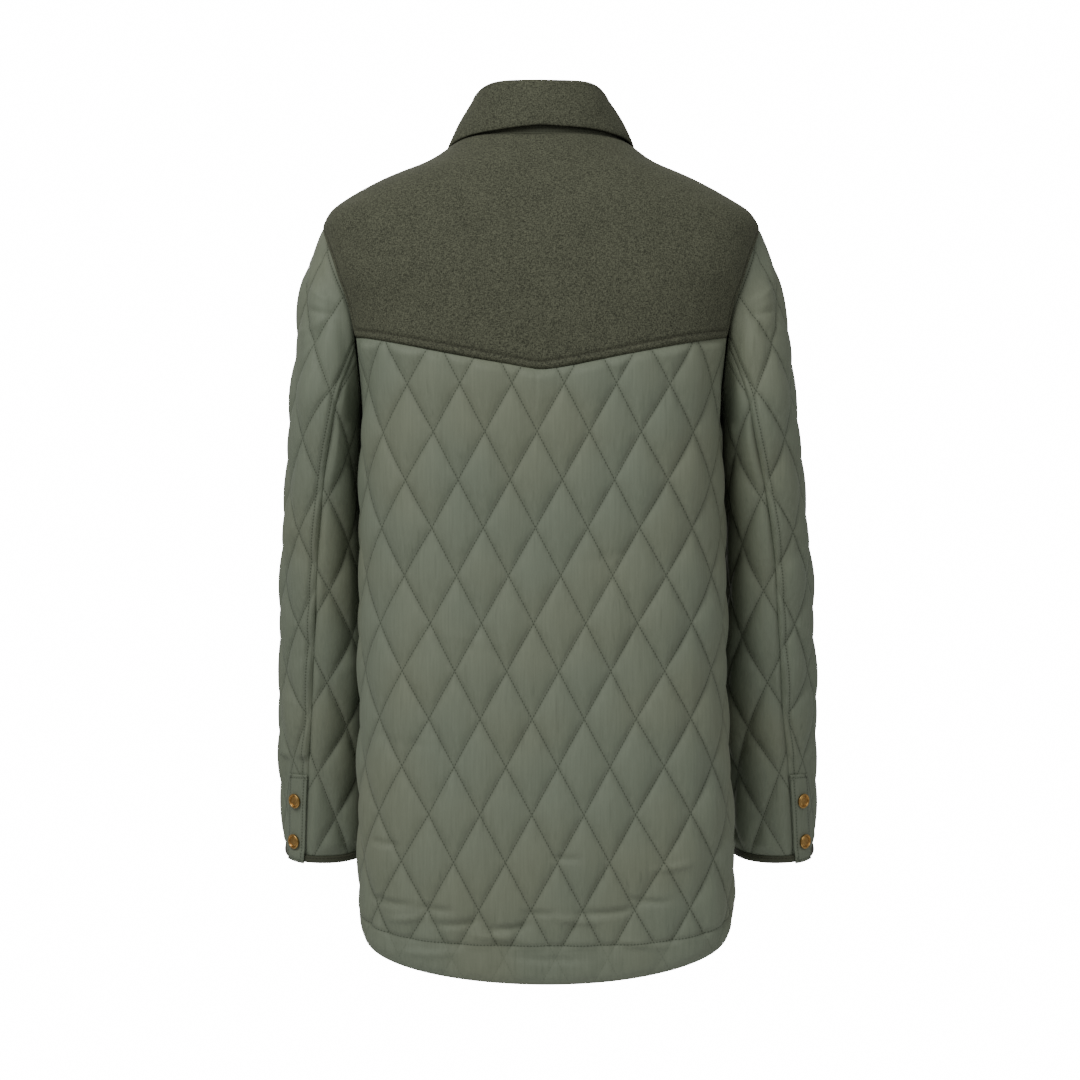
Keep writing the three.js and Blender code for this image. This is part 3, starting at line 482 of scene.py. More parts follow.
class Value:
    """A number that a node gives. Arithmetic on it adds Math nodes."""

    def __init__(self, finish, socket):
        self.finish, self.socket = finish, socket

    def maths(self, operation, *others):
        return self.finish.node("ShaderNodeMath", {"operation": operation}, dict(enumerate((self, *others))))

    def __add__(self, other):
        return self.maths("ADD", other)

    def __sub__(self, other):
        return self.maths("SUBTRACT", other)

    def __mul__(self, other):
        return self.maths("MULTIPLY", other)

    def __truediv__(self, other):
        return self.maths("DIVIDE", other)

    def __rsub__(self, other):
        return self.finish.number("SUBTRACT", other, self)

    def __rtruediv__(self, other):
        return self.finish.number("DIVIDE", other, self)

    def __abs__(self):
        return self.maths("ABSOLUTE")

    __radd__, __rmul__ = __add__, __mul__

    def round(self):
        return self.maths("ROUND")

    def fraction(self):
        return self.maths("FRACT")

    def sine(self):
        return self.maths("SINE")

    def most(self, other):
        return self.maths("MAXIMUM", other)

    def step(self, low, high):
        """0 at low, 1 at high, smooth between. high may be the lower of the two."""
        return self.finish.node("ShaderNodeMapRange", {"interpolation_type": "SMOOTHSTEP"},
                                {0: self, 1: low, 2: high, 3: 0.0, 4: 1.0})


class Finish:
    """A material as it is put together. Constants go straight on the shader's own sockets."""

    def __init__(self, name, constants):
        self.material = bpy.data.materials.new(name)
        self.material.use_nodes = True
        self.tree = self.material.node_tree
        self.shader = self.tree.nodes["Principled BSDF"]
        for socket, value in constants.items():
            self.shader.inputs[socket].default_value = value

    def node(self, kind, settings=None, inputs=None, output=0):
        """Adds a node of a type, makes its settings, then sets or links its sockets."""
        made = self.tree.nodes.new(kind)
        for name, value in (settings or {}).items():
            setattr(made, name, value)
        for socket, value in (inputs or {}).items():
            if isinstance(value, Value):
                self.tree.links.new(value.socket, made.inputs[socket])
            else:
                made.inputs[socket].default_value = value
        return Value(self, made.outputs[output])

    def number(self, operation, *values):
        return self.node("ShaderNodeMath", {"operation": operation}, dict(enumerate(values)))

    def place(self, uv_map):
        """The two numbers of a UV map, in metres of cloth."""
        uv = self.node("ShaderNodeUVMap", {"uv_map": uv_map})
        return [self.node("ShaderNodeSeparateXYZ", {}, {0: uv}, k) for k in (0, 1)]

    def noise(self, scale, detail=2.0, stretch=(1, 1, 1), roughness=0.5):
        """Noise between 0 and 1 over the object's own space, with scale in cells a metre."""
        where = self.node("ShaderNodeTexCoord", output="Object")
        spot = self.node("ShaderNodeMapping", {}, {0: where, 3: stretch})
        return self.node("ShaderNodeTexNoise", {}, {0: spot, 2: scale, 3: detail, 4: roughness})

    def mix(self, share, one, other):
        """A colour between two, by a share from 0 to 1."""
        colours = [c if isinstance(c, Value) else (*c, 1.0) for c in (one, other)]
        return self.node("ShaderNodeMix", {"data_type": "RGBA"}, {0: share, 6: colours[0], 7: colours[1]}, 2)

    def shine(self, socket, value):
        self.tree.links.new(value.socket, self.shader.inputs[socket])

    def bump(self, height, depth):
        """Feeds the shader's normal from a height between 0 and 1, depth metres deep."""
        normal = self.node("ShaderNodeBump", {}, {"Strength": 1.0, "Distance": depth, "Height": height})
        self.tree.links.new(normal.socket, self.shader.inputs["Normal"])


def threads(off, along, stitch=0.0032, half=0.00042):
    """A row of stitches, as a weight towards the stitch colour: 1 at the needle holes, which carry painted
    shade, about a fifth along the stitches between them and 0 off the line, from how far off the line and how
    far along it a point lies."""
    hole_shade = abs((along / stitch).fraction() - 0.5).step(0.20, 0.36)
    return abs(off).step(half * 1.8, half * 0.6) * (0.22 + hole_shade * 0.78)


print("shader helpers ready")

# %% [markdown]
# The shell is a matt sage taffeta. Its quilting lines are sewn threads, darker than the cloth, and lie in
# the valleys that the mesh already has, with painted shade in their needle holes and along the furrows.
# They are worked out from the cloth's own UV map, so they follow the grid of the quilting exactly.
# A very fine weave, faint streaks and slow drifts of colour do the rest.

# %% Quilted shell and plain shell
QUILT_WIDE, QUILT_TALL = 50.0, 92.0
QUILT_SPACING = 1 / np.hypot(1 / QUILT_WIDE, 1 / QUILT_TALL)
QUILT_SIDE = np.hypot(QUILT_WIDE, QUILT_TALL) / 2

SAGE = (0.176, 0.202, 0.148)
SAGE_WARM = (0.185, 0.204, 0.144)
# The dark end of the stitch rows: the stitches' own darker tone, deepened with painted shade for the needle
# holes.
SAGE_THREAD_AND_HOLE_SHADE = (0.060, 0.070, 0.048)


def shell_finish(name, quilted):
    """Taffeta: fine weave, streaks along the warp, slow drifts of colour, and threads where it is sewn, with
    painted shade along their furrows and in their needle holes.
    """
    f = Finish(name, {"Sheen Weight": 0.06, "Sheen Roughness": 0.5, "Sheen Tint": (0.75, 0.85, 0.7, 1.0),
                      "Specular IOR Level": 0.28})
    across, up = f.place("cloth")
    off, along = f.place("topstitch")
    drift = f.noise(9.0, 1.0)
    streak = f.noise(430.0, 2.0, (1.0, 1.0, 0.05))
    slub = f.noise(240.0, 1.0, (1.0, 1.0, 0.06)).step(0.64, 0.78)
    mottle = f.noise(60.0, 3.0)
    weave = f.noise(1500.0, 1.0)
    tone = f.mix(drift.step(0.35, 0.7), SAGE, SAGE_WARM)
    level = 1 + (streak - 0.5) * 0.26 - slub * 0.10 + (mottle - 0.5) * 0.08 + (weave - 0.5) * 0.10
    thread_and_hole_shade = threads(off, along)
    furrow_shade = abs(off).step(0.0035, 0.0)
    if quilted:
        clear = 0.25 + off.step(-0.002, 0.0) * 0.75
        wide, tall = across * (1000 / QUILT_WIDE), up * (1000 / QUILT_TALL)
        for line, run in ((wide + tall, wide - tall), (wide - tall, wide + tall)):
            gap = (line - line.round()) * (QUILT_SPACING * METRE)
            thread_and_hole_shade = thread_and_hole_shade.most(threads(gap, run * (QUILT_SIDE * METRE)) * clear)
            furrow_shade = furrow_shade.most(abs(gap).step(0.0036, 0.0) * clear)
    # Painted shade: the cloth is darkened along the furrows of the topstitching and of the quilting lines.
    level = level * (1 - furrow_shade * 0.12)
    cloth = f.node("ShaderNodeVectorMath", {"operation": "SCALE"}, {0: tone, "Scale": level})
    # The stitch rows mix towards a dark colour: the stitches' own tone, with painted shade in the needle
    # holes.
    f.shine("Base Color", f.mix(thread_and_hole_shade * 0.8, cloth, SAGE_THREAD_AND_HOLE_SHADE))
    f.shine("Roughness", 0.66 + (mottle - 0.5) * 0.12 + thread_and_hole_shade * 0.15)
    f.bump(weave * 0.10 + streak * 0.12 + mottle * 0.10 + thread_and_hole_shade * 0.5 - furrow_shade * 0.5, 0.0006)
    return f.material


quilted_shell = shell_finish("quilted_shell_cloth", True)
plain_shell = shell_finish("plain_shell_cloth", False)
print("finishes:", quilted_shell.name, plain_shell.name)

# %% [markdown]
# The yoke and the collar are felted melange wool: dark and light fibres mixed before spinning, so the
# colour changes from one fibre to the next. Several sizes of noise, two of them stretched into short
# fibres, give that, and the same noise raises a soft nap. A little sheen is added, as loose fibres catch
# light. The binding is smooth and ribbed, and the snaps are worn brass.

# %% Wool, trim and brass
WOOL_DARK, WOOL_LIGHT = (0.028, 0.030, 0.020), (0.132, 0.138, 0.092)
# The dark end of the stitch rows on wool and binding: the stitches' own darker tone, deepened with painted
# shade for the needle holes.
WOOL_THREAD_AND_HOLE_SHADE = (0.028, 0.028, 0.018)
TRIM, TRIM_LIGHT = (0.046, 0.050, 0.030), (0.080, 0.086, 0.055)


def wool_finish(name):
    """Melange felt: a mix of dark and light fibres, with a soft nap and a little sheen, and painted shade
    along the furrow of its row of stitches and in their needle holes.
    """
    f = Finish(name, {"Sheen Weight": 0.10, "Sheen Roughness": 0.6, "Sheen Tint": (0.6, 0.62, 0.45, 1.0),
                      "Specular IOR Level": 0.2})
    off, along = f.place("topstitch")
    fleck = f.noise(950.0, 2.0, (1, 1, 1), 0.6)
    fibre = f.noise(1100.0, 1.0, (1.0, 1.0, 0.35))
    strand = f.noise(1000.0, 1.0, (0.35, 0.5, 1.0))
    cloud = f.noise(35.0, 2.0)
    share = (fleck * 0.5 + fibre * 0.25 + strand * 0.25 + (cloud - 0.5) * 0.05).step(0.34, 0.66)
    thread_and_hole_shade = threads(off, along, 0.0036, 0.0005)
    furrow_shade = abs(off).step(0.0032, 0.0)
    wool = f.mix(share, WOOL_DARK, WOOL_LIGHT)
    # Painted shade: the wool is darkened along the furrow that its row of stitches pulls in.
    shaded = f.node("ShaderNodeVectorMath", {"operation": "SCALE"}, {0: wool, "Scale": 1 - furrow_shade * 0.25})
    # The stitch row mixes towards a dark colour: the stitches' own tone, with painted shade in the needle
    # holes.
    f.shine("Base Color", f.mix(thread_and_hole_shade * 0.6, shaded, WOOL_THREAD_AND_HOLE_SHADE))
    f.shine("Roughness", 0.86 + (fleck - 0.5) * 0.1)
    f.bump(fleck * 0.5 + fibre * 0.3 + strand * 0.2 - furrow_shade * 0.8, 0.0009)
    return f.material


def trim_finish(name):
    """Smooth binding: fine ribs along its length and a row of threads, with painted shade in their needle
    holes.
    """
    f = Finish(name, {"Sheen Weight": 0.1, "Specular IOR Level": 0.3})
    up = f.place("cloth")[1]
    off, along = f.place("topstitch")
    rib = ((up * (2 * np.pi / 0.0011)).sine() + 1) * 0.5
    mottle = f.noise(90.0, 3.0)
    thread_and_hole_shade = threads(off, along)
    cloth = f.mix((rib * 0.5 + mottle * 0.5).step(0.2, 0.9), TRIM, TRIM_LIGHT)
    # The stitch rows mix towards a dark colour: the stitches' own tone, with painted shade in the needle
    # holes.
    f.shine("Base Color", f.mix(thread_and_hole_shade * 0.7, cloth, WOOL_THREAD_AND_HOLE_SHADE))
    f.shine("Roughness", 0.72 + (mottle - 0.5) * 0.15)
    f.bump(rib * 0.4 + mottle * 0.2 + thread_and_hole_shade * 0.5, 0.0004)
    return f.material


def brass_finish(name):
    """Antique brass: worn bright in places, darker and duller in others."""
    f = Finish(name, {"Metallic": 1.0})
    wear = f.noise(420.0, 3.0)
    fine = f.noise(2600.0, 2.0)
    f.shine("Base Color", f.mix(wear.step(0.30, 0.70), (0.42, 0.24, 0.075), (0.60, 0.37, 0.13)))
    f.shine("Roughness", 0.30 + wear * 0.12)
    f.bump(wear * 0.3 + fine * 0.3, 0.00004)
    return f.material


wool, trim, brass = wool_finish("melange_wool"), trim_finish("binding_trim"), brass_finish("antique_brass")
print("finishes:", wool.name, trim.name, brass.name)

# %% [markdown]
# Quilting is two layers of cloth sewn through wadding, so each diamond stands up between its stitch lines.
# It could be simulated with pressure, but the real one is shallow and even, and a formula keeps every
# stitch line where it was sewn. Near a line the height falls off sharply, and amid a diamond it is a low
# dome. Each diamond is a little fuller or flatter than the next, and the cloth puckers along the threads.

# %% Quilting, ripples and creases
RISE, VALLEY, PUCKER = 5.4, 5.4, 0.24
SKIN = 0.1
plumpness = 1 + 0.12 * np.random.default_rng(7).standard_normal((64, 64)).clip(-2, 2)


def ripples(x, y, length, seed, count=14):
    """Smooth unevenness of about 1: a sum of waves with random directions and starts."""
    random = np.random.default_rng(seed)
    turn, start = random.uniform(0, np.pi, count), random.uniform(0, 2 * np.pi, count)
    size = 2 * np.pi / (length * random.uniform(0.7, 1.5, count))
    total = sum(np.sin(s * (x * np.cos(a) + y * np.sin(a)) + b) for s, a, b in zip(size, turn, start))
    return total / np.sqrt(count / 2)


def quilting(across, up, seed=0):
    """How far the quilting stands out: from 0 on a stitch line it rises as 1 minus an exponential of the
    distance, once for each family of lines, with a low dome over the whole diamond."""
    a, b = across / QUILT_WIDE + up / QUILT_TALL, across / QUILT_WIDE - up / QUILT_TALL
    gaps = [np.abs(v - np.round(v)) * QUILT_SPACING for v in (a, b)]
    banks = [1 - np.exp(-gap / VALLEY) for gap in gaps]
    dome = np.abs(np.sin(np.pi * a) * np.sin(np.pi * b))
    plump = plumpness[(np.floor(a).astype(int) + seed) % 64, np.floor(b).astype(int) % 64]
    pucker = sum(np.exp(-gap / 4.5) * (1 - np.exp(-gap / 1.2)) * np.sin(2 * np.pi * run * QUILT_SIDE / 11
                 + 2 * ripples(across, up, 60, 31 + k)) for k, (gap, run) in enumerate(zip(gaps, (b, a))))
    return RISE * plump * (0.68 * banks[0] * banks[1] + 0.32 * dome) + PUCKER * pucker


def creases(across, up, spots):
    """Soft troughs and ridges: each is a bell across its width, tapered along its length. A spot is its
    middle across and up, its length, its direction in degrees, its width and its height."""
    total = np.zeros_like(across)
    for middle, height, length, turn, width, rise in spots:
        c, s = np.cos(np.radians(turn)), np.sin(np.radians(turn))
        dx, dy = across - middle, up - height
        along, aside = dx * c + dy * s, dy * c - dx * s
        bend = 0.12 * along**2 / length
        total += rise * np.exp(-((aside - bend) / width) ** 2 - np.abs(along / (0.5 * length)) ** 3)
    return total


def roll(gap, depth, width=3.0):
    """How far an edge turns in, at a distance from it."""
    return depth * np.exp(-(gap / width) ** 2)


def groove(off, depth, width=2.0):
    """The furrow that a row of stitches pulls into cloth."""
    return depth * np.exp(-(off / width) ** 2)


def beside(tube, p, rise=4.5, share=0.3, flat=10, fade=18):
    """1 in the open, falling to 0 at an armhole and where another part hangs close."""
    gap = np.maximum(tube.outside(p), 0)
    past = np.maximum(gap, ARMHOLE_BOTTOM - p[..., 2]) - flat
    return ease(past / fade) * np.minimum(share * gap / rise, 1)


def beside_sleeves(p):
    """The same for the body, beside whichever sleeve is on the point's side."""
    left, right = beside(sleeves[1], p), beside(sleeves[-1], p)
    return np.where(p[..., 0] > 0, left, right)


print("quilting rises", RISE, "mm between lines", round(QUILT_SPACING, 1), "mm apart")

# %% [markdown]
# The back is the largest piece. Its upper edge follows the yoke and then drops down the armholes, its sides
# are the side seams and the open vents, and its hem is half an ellipse with a wide stitched turn-up.
# Its quilting drifts sideways on the way down, as it does where a real panel was cut a little off grain.

# %% Back
WALL = 2.5
BACK_CROSSING = -291
QUILT_SHIFT, QUILT_DRIFT, SIDE_STRETCH, SIDE_START = 4, 0.025, 0.12, 100
TURN_UP_TOP, TURN_UP_DROP, TURN_UP_POWER, VENT_STITCH = -700, 85, 3, 8


def vent_angle(z):
    """How far round the section a side vent has opened."""
    spread = SEAM / 2 + VENT_SPREAD * np.maximum(VENT_TOP - z, 0)
    return spread / column(body_rows, "half", z)


def back_place(share, z):
    return body.at(z, share * (np.pi / 2 - vent_angle(z)))


def back_arc(share, z):
    return body.arc(z, share * (np.pi / 2 - vent_angle(z)))


def back_hem(arc):
    """Two quarters of an ellipse along the hem, of which the right one is a little rounder."""
    part = np.abs(arc) / np.where(arc > 0, HEM_LEFT, HEM_RIGHT)
    return HEM_CORNER - HEM_DROP * np.sqrt(1 - np.minimum(part, 1) ** 2)


def back_grain(arc, z):
    """A place on the back in the quilting's own grid: across it and up it from a crossing of its lines."""
    across = arc - QUILT_SHIFT - QUILT_DRIFT * (BACK_CROSSING - z)
    beyond = np.maximum(np.abs(across) - SIDE_START, 0)
    return across - np.sign(across) * beyond * SIDE_STRETCH / (1 + SIDE_STRETCH), z - BACK_CROSSING


def turn_up(arc, half, top, drop):
    """The height of the row of stitches that holds the turned-up hem: half a superellipse."""
    part = np.minimum(np.abs(arc) / half, 1)
    return top - drop * (1 - part**TURN_UP_POWER) ** (1 / TURN_UP_POWER)


shares = np.linspace(-1, 1, 1201)
under_yoke = lambda p: (p[..., 2] < yoke_edge(p[..., 0]) - SEAM / 2) & off_sleeves(p)
back_top = walk(lambda z: back_place(shares, z), np.full(1201, -330.0), -150, under_yoke)
back_bottom = settle(lambda z: back_hem(back_arc(shares, z)), np.full(1201, -780.0))
columns, rows = 232, 232
share, height = ruled(back_place, shares, back_top, back_bottom, columns, rows)
back_base = back_place(share, height)
back_arcs = back_arc(share, height)
side_arc = float(back_arc(np.array(1.0), np.array(-700.0)))
arcs = np.concatenate([
    np.full(12, -side_arc + VENT_STITCH), np.linspace(-side_arc + VENT_STITCH, side_arc - VENT_STITCH, 400),
    np.full(12, side_arc - VENT_STITCH)])
levels = turn_up(arcs, side_arc - VENT_STITCH, TURN_UP_TOP, TURN_UP_DROP)
levels[:12] = np.linspace(VENT_TOP + 6, TURN_UP_TOP, 12)
levels[-12:] = levels[11::-1]
back_turn_up = body.at(levels, body.angle(levels, arcs))

across, up = back_grain(back_arcs, height)
top_gap = edge_field(back_base, back_base[:, 0])[0]
hem_gap = edge_field(back_base, back_base[:, -1])[0]
side_gap = np.minimum(edge_field(back_base, back_base[0])[0], edge_field(back_base, back_base[-1])[0])
stitch_height = turn_up(back_arcs, side_arc - VENT_STITCH, TURN_UP_TOP, TURN_UP_DROP)
turned = (height < stitch_height) | (np.abs(back_arcs) > side_arc - VENT_STITCH)
stitches = topstitching(back_base, [(back_turn_up, 0)], np.where(turned, -1, 1))
in_band = ease((stitch_height - height) / 6)
# middle across and up, length, direction in degrees, width, rise
low_creases = [
    (136, -455, 40, 6, 3.4, -3.4), (120, -470, 30, -6, 3.0, 2.6), (92, -460, 34, 3, 3.2, -3.0),
    (72, -474, 40, -4, 3.4, -3.4), (34, -486, 44, 4, 3.2, 2.8), (20, -477, 34, -5, 3.0, -3.2),
    (-8, -463, 28, 0, 2.8, -2.6), (-44, -470, 38, 6, 3.4, 3.0), (-76, -462, 48, -5, 3.4, -3.6),
    (-112, -452, 34, 5, 3.0, -3.0), (-34, -410, 26, 2, 3.0, -2.2), (142, -398, 28, 8, 3.2, -2.4),
    (-132, -420, 30, -9, 3.2, 2.4), (96, -503, 60, -1, 3.6, 2.0), (-20, -508, 70, 2, 3.6, -2.0),
    (-110, -494, 46, 7, 3.4, 2.0), (3, 40, 34, 90, 1.8, -1.5), (-98, 12, 34, 78, 3.4, 0.8),
    (60, -200, 60, 12, 5.0, 0.6), (-70, -120, 50, -14, 5.0, -0.6), (120, -300, 60, 8, 5.0, -0.6),
]
relief = quilting(across, up) * beside_sleeves(back_base) * ease(top_gap / 9) * ease(hem_gap / 10)
relief = relief * (1 - 0.6 * in_band) * ease((side_gap + 4) / 9)
relief = relief + in_band * 1.3 * np.sin(np.pi * np.clip(hem_gap / 34, 0, 1))
relief = relief + creases(across, up, low_creases)
relief = relief + 0.35 * ripples(across, up, 130, 3) * beside_sleeves(back_base)
relief = relief - groove(stitches[0], 1.3, 2.4)
relief = relief - roll(hem_gap, 1.3) - roll(top_gap, 1.2) - roll(side_gap, 1.0)
back = cloth_piece("back_cloth", back_base, SKIN + np.maximum(relief, -1.6), WALL, (across, up), stitches,
                   [quilted_shell, plain_shell])
dress(back, back_base, ["back"])

# %% [markdown]
# Each front is a mirror of the other, from the side seam to the opening.
# Its armhole curves in and out again on the way up, so a column of the grid can't simply run up to an edge.
# The grid is stretched between four edges instead: neck and shoulder, hem, opening, and side with armhole.

# %% Fronts
FRONT_FLAT, TURN_UP_FRONT = 35, 30


def front_place(side):
    def place(share, z):
        """Share 0 is at the opening and share 1 at the side seam."""
        opening = np.pi - SEAM / column(body_rows, "front", z)
        angle = opening - share * (opening - np.pi / 2 - vent_angle(z))
        return body.at(z, side * angle)

    return place


def from_opening(side, p):
    """The arc length of points from the middle of the front."""
    angle = np.abs(np.arctan2(p[..., 0] - column(body_rows, "centre", p[..., 2]), p[..., 1]))
    return body.half_round(p[..., 2]) - np.abs(body.arc(p[..., 2], angle))


def front_hem(arc, z):
    """Level, with a quarter circle at the side vent."""
    from_side = body.half_round(np.full_like(arc, FRONT_HEM)) / 2 - arc
    part = np.clip(1 - from_side / FRONT_CORNER, 0, 1)
    return FRONT_HEM + FRONT_CORNER * (1 - np.sqrt(1 - part**2))


def shoulder_share(z):
    """The share at which the front meets the yoke's level seam, ahead of the middle of the section."""
    half, front, power = (column(body_rows, name, z) for name in ("half", "front", "ahead"))
    ahead = SEAM / 2 - SHOULDER_SEAM
    aside = half * np.maximum(1 - (ahead / np.maximum(front, ahead)) ** power, 0) ** (1 / power)
    opening = np.pi - SEAM / front
    return (opening - np.arctan2(aside, -ahead)) / (opening - np.pi / 2 - vent_angle(z))


def make_front(name, side):
    place = front_place(side)
    shoulder = lambda z: place(shoulder_share(z), z)
    neck_end = walk(shoulder, np.full(1, -60.0), 12, off_neck)
    arm_end = walk(shoulder, neck_end, -200, off_sleeves)
    neck_shares = np.linspace(0, shoulder_share(neck_end)[0], 200)
    neck = walk(lambda z: place(neck_shares, z), np.full(200, -340.0), 12, off_neck)
    seam_heights = np.linspace(neck_end[0], arm_end[0], 200)
    top = np.concatenate([neck_shares, shoulder_share(seam_heights)]), np.concatenate([neck, seam_heights])
    hem_shares = np.linspace(0, 1, 401)
    hem = settle(lambda z: front_hem(from_opening(side, place(hem_shares, z)), z), np.full(401, -750.0))
    side_heights = np.linspace(arm_end[0], hem[-1], 1401)
    armhole = walk(lambda share: place(share, side_heights), np.full(1401, 0.3), 1, off_sleeves)
    armhole[0] = top[0][-1]
    middle_heights = np.linspace(neck[0], hem[0], 200)
    share, height = patched(place, top, (hem_shares, hem), (np.zeros(200), middle_heights),
                            (armhole, side_heights), 132, 272)
    base = place(share, height)
    across, up = side * from_opening(side, base), height - BACK_CROSSING
    top_gap, hem_gap = (edge_field(base, base[:, k])[0] for k in (0, -1))
    seam_gap = edge_field(base, base[-1])[0]
    stitches = topstitching(base, [(base[:, -1], TURN_UP_FRONT), (base[-1, -60:], VENT_STITCH)])
    in_band = ease((TURN_UP_FRONT - hem_gap) / 6)
    relief = quilting(across, up, 5 + side) * beside_sleeves(base) * ease((np.abs(across) - FRONT_FLAT) / 10)
    relief = relief * ease(top_gap / 9) * ease(hem_gap / 10) * (1 - 0.6 * in_band)
    relief = relief + in_band * 1.2 * np.sin(np.pi * np.clip(hem_gap / TURN_UP_FRONT, 0, 1))
    relief = relief * ease((np.abs(across) - 19) / 8) - groove(stitches[0], 1.2, 2.4)
    relief = relief + 0.35 * ripples(across, up, 120, 11 + side) * beside_sleeves(base) * ease(
        (np.abs(across) - 24) / 12)
    relief = relief - roll(hem_gap, 1.3) - roll(top_gap, 1.2) - roll(seam_gap, 1.0)
    front = cloth_piece(f"front_cloth_{name}", base, SKIN + np.maximum(relief, -1.6) * ease(
        (np.abs(across) - 19) / 4), WALL, (across, up), stitches, [quilted_shell, plain_shell])
    dress(front, base, [f"front_{name}"])


for name, side in (("left", 1), ("right", -1)):
    make_front(name, side)

# %% [markdown]
# The woollen yoke lies over the shoulders like a saddle. A flat grid would bunch at the neck, so its grid
# fans out: one edge is the neck seam, and the other runs down one armhole, along the pointed edge across
# the back, and up the other armhole. Its edges are turned under and topstitched.

# %% Yoke
YOKE_RISE, YOKE_INSIDE, YOKE_STITCH = 1.2, 1.8, 7.5


def yoke_place(share, z):
    """Share 1 is the shoulder seam, a level way ahead of the middle of the section."""
    half, front, power = (column(body_rows, name, z) for name in ("half", "front", "ahead"))
    ahead = -SHOULDER_SEAM - SEAM / 2
    aside = half * np.maximum(1 - (ahead / np.maximum(front, ahead)) ** power, 0) ** (1 / power)
    return body.at(z, share * np.arctan2(aside, -ahead))


shares = np.linspace(-1, 1, 1201)
above_edge = lambda p: (p[..., 2] > yoke_edge(p[..., 0]) + SEAM / 2) & off_sleeves(p)
neck_edge = walk(lambda z: yoke_place(shares, z), np.full(1201, -57.0), 14, off_neck)
outer_edge = walk(lambda z: yoke_place(shares, z), np.full(1201, -57.0), -240, above_edge)
share, height = ruled(yoke_place, shares, neck_edge, outer_edge, 280, 84)
yoke_base = yoke_place(share, height)
across, up = body.arc(height, np.arctan2(yoke_base[..., 0], yoke_base[..., 1])), height
edge_gap = edge_field(yoke_base, yoke_base[:, -1])[0]
neck_gap = edge_field(yoke_base, yoke_base[:, 0])[0]
seam_gap = np.minimum(edge_field(yoke_base, yoke_base[0])[0], edge_field(yoke_base, yoke_base[-1])[0])
stitches = topstitching(yoke_base, [(yoke_base[:, -1], YOKE_STITCH)])
relief = YOKE_RISE + 0.3 * ripples(across, up, 90, 5) + 0.5 * roll(edge_gap - 4, 1.0, 3.0)
relief = relief - groove(stitches[0], 0.7, 1.8)
relief = relief - roll(edge_gap, 1.4, 2.2) - roll(neck_gap, 0.8) - roll(seam_gap, 0.9)
yoke = cloth_piece("yoke_wool", yoke_base, relief, YOKE_INSIDE, (across, up), stitches, [wool, wool])
dress(yoke, yoke_base, ["yoke"])

# %% [markdown]
# A sleeve has two pieces, an outer one and an inner one, with seams behind and in front. A bent tube would
# do for a plain sleeve, but two panels give the seams and let the quilting change direction across them.
# Their upper edges are where they meet the body, and their lower edges follow the slanted cuff.

# %% Sleeves
GRAIN = {"top": -295, "under": -353}
SLEEVE_HALF_ROUND = 165
TAB_WIDE, TAB_TALL, TAB_TOP, TAB_END, TAB_WALL, TAB_GAP, TAB_STITCH = 24, 92, -631, -1, 2, 0.5, 3.2
SLEEVE_STITCH = 6.5


def sleeve_seam(z):
    """The back seam's angle. The front seam mirrors it."""
    return np.radians(column(sleeve_rows, "seam", z))


def cuff_height(tube, angle, up):
    """The height of the cuff's slanted edge, moved up by a little."""
    return settle(lambda z: CUFF + up - CUFF_TILT * (tube.at(z, angle)[..., 1] - CUFF_DEPTH),
                  np.full_like(np.asarray(angle, float), CUFF), 5)


def sleeve_place(side, kind):
    tube = sleeves[side]

    def angle(share, z):
        """Share 0 is the back seam and share 1 the front seam, by the outside or by the inside."""
        seam = sleeve_seam(z)
        gap = SEAM / 2 / 50
        start, end = (seam + gap, np.pi - seam - gap) if kind == "top" else (seam - gap, -np.pi - seam + gap)
        return start + share * (end - start)

    return angle, lambda share, z: tube.at(z, angle(share, z))


def make_sleeve(name, side, kind, columns, rows, spots):
    tube = sleeves[side]
    angle, place = sleeve_place(side, kind)
    shares = np.linspace(0, 1, 801)
    ceiling = SLEEVE_TOP if kind == "top" else -150
    top = walk(lambda z: place(shares, z), np.full(801, -340.0), ceiling, lambda p: body.outside(p) > -TUCK)
    bottom = settle(lambda z: cuff_height(tube, angle(shares, z), BINDING - TUCK), np.full(801, -715.0), 4)
    share, height = ruled(place, shares, top, bottom, columns, rows)
    base = place(share, height)
    angles = angle(share, height)
    arc = tube.arc(height, angles)
    across = arc * SLEEVE_HALF_ROUND / tube.half_round(height) - column(sleeve_rows, kind, height)
    up = height - GRAIN[kind]
    top_gap, cuff_gap = (edge_field(base, base[:, k])[0] for k in (0, -1))
    seam_gap = np.minimum(edge_field(base, base[0])[0], edge_field(base, base[-1])[0])
    rows_of_stitches = [(base[0], SLEEVE_STITCH), (base[-1], SLEEVE_STITCH)] if kind == "top" else []
    stitches = topstitching(base, rows_of_stitches)
    from_seam = arc - tube.arc(height, sleeve_seam(height))
    near_tab = np.maximum(np.maximum(-from_seam, from_seam - TAB_WIDE) - 8, height - TAB_TOP - 12)
    open_cloth = ease(near_tab / 10) if kind == "top" else ease((near_tab + 6) / 8)
    relief = quilting(across, up, 20 + side) * beside(body, base) * open_cloth
    relief = relief * ease((cuff_gap - 2) / 14) * ease(top_gap / 9) * ease((seam_gap + 2) / 8)
    loose = np.minimum(ease(body.outside(base) / 12), ease(cuff_gap / 12)) * open_cloth
    relief = relief + (creases(across, up, spots) + 0.4 * ripples(across, up, 110, 40 + side)) * loose
    relief = relief - groove(stitches[0], 0.9, 2.0)
    relief = relief - roll(top_gap, 1.2) - roll(seam_gap, 1.1, 2.6) - roll(cuff_gap, 0.8)
    sleeve = cloth_piece(f"sleeve_{kind}_cloth_{name}", base, SKIN + np.maximum(relief, -1.6), WALL,
                         (across, up), stitches, [quilted_shell, plain_shell])
    dress(sleeve, base, [f"sleeve_{kind}_{name}"])


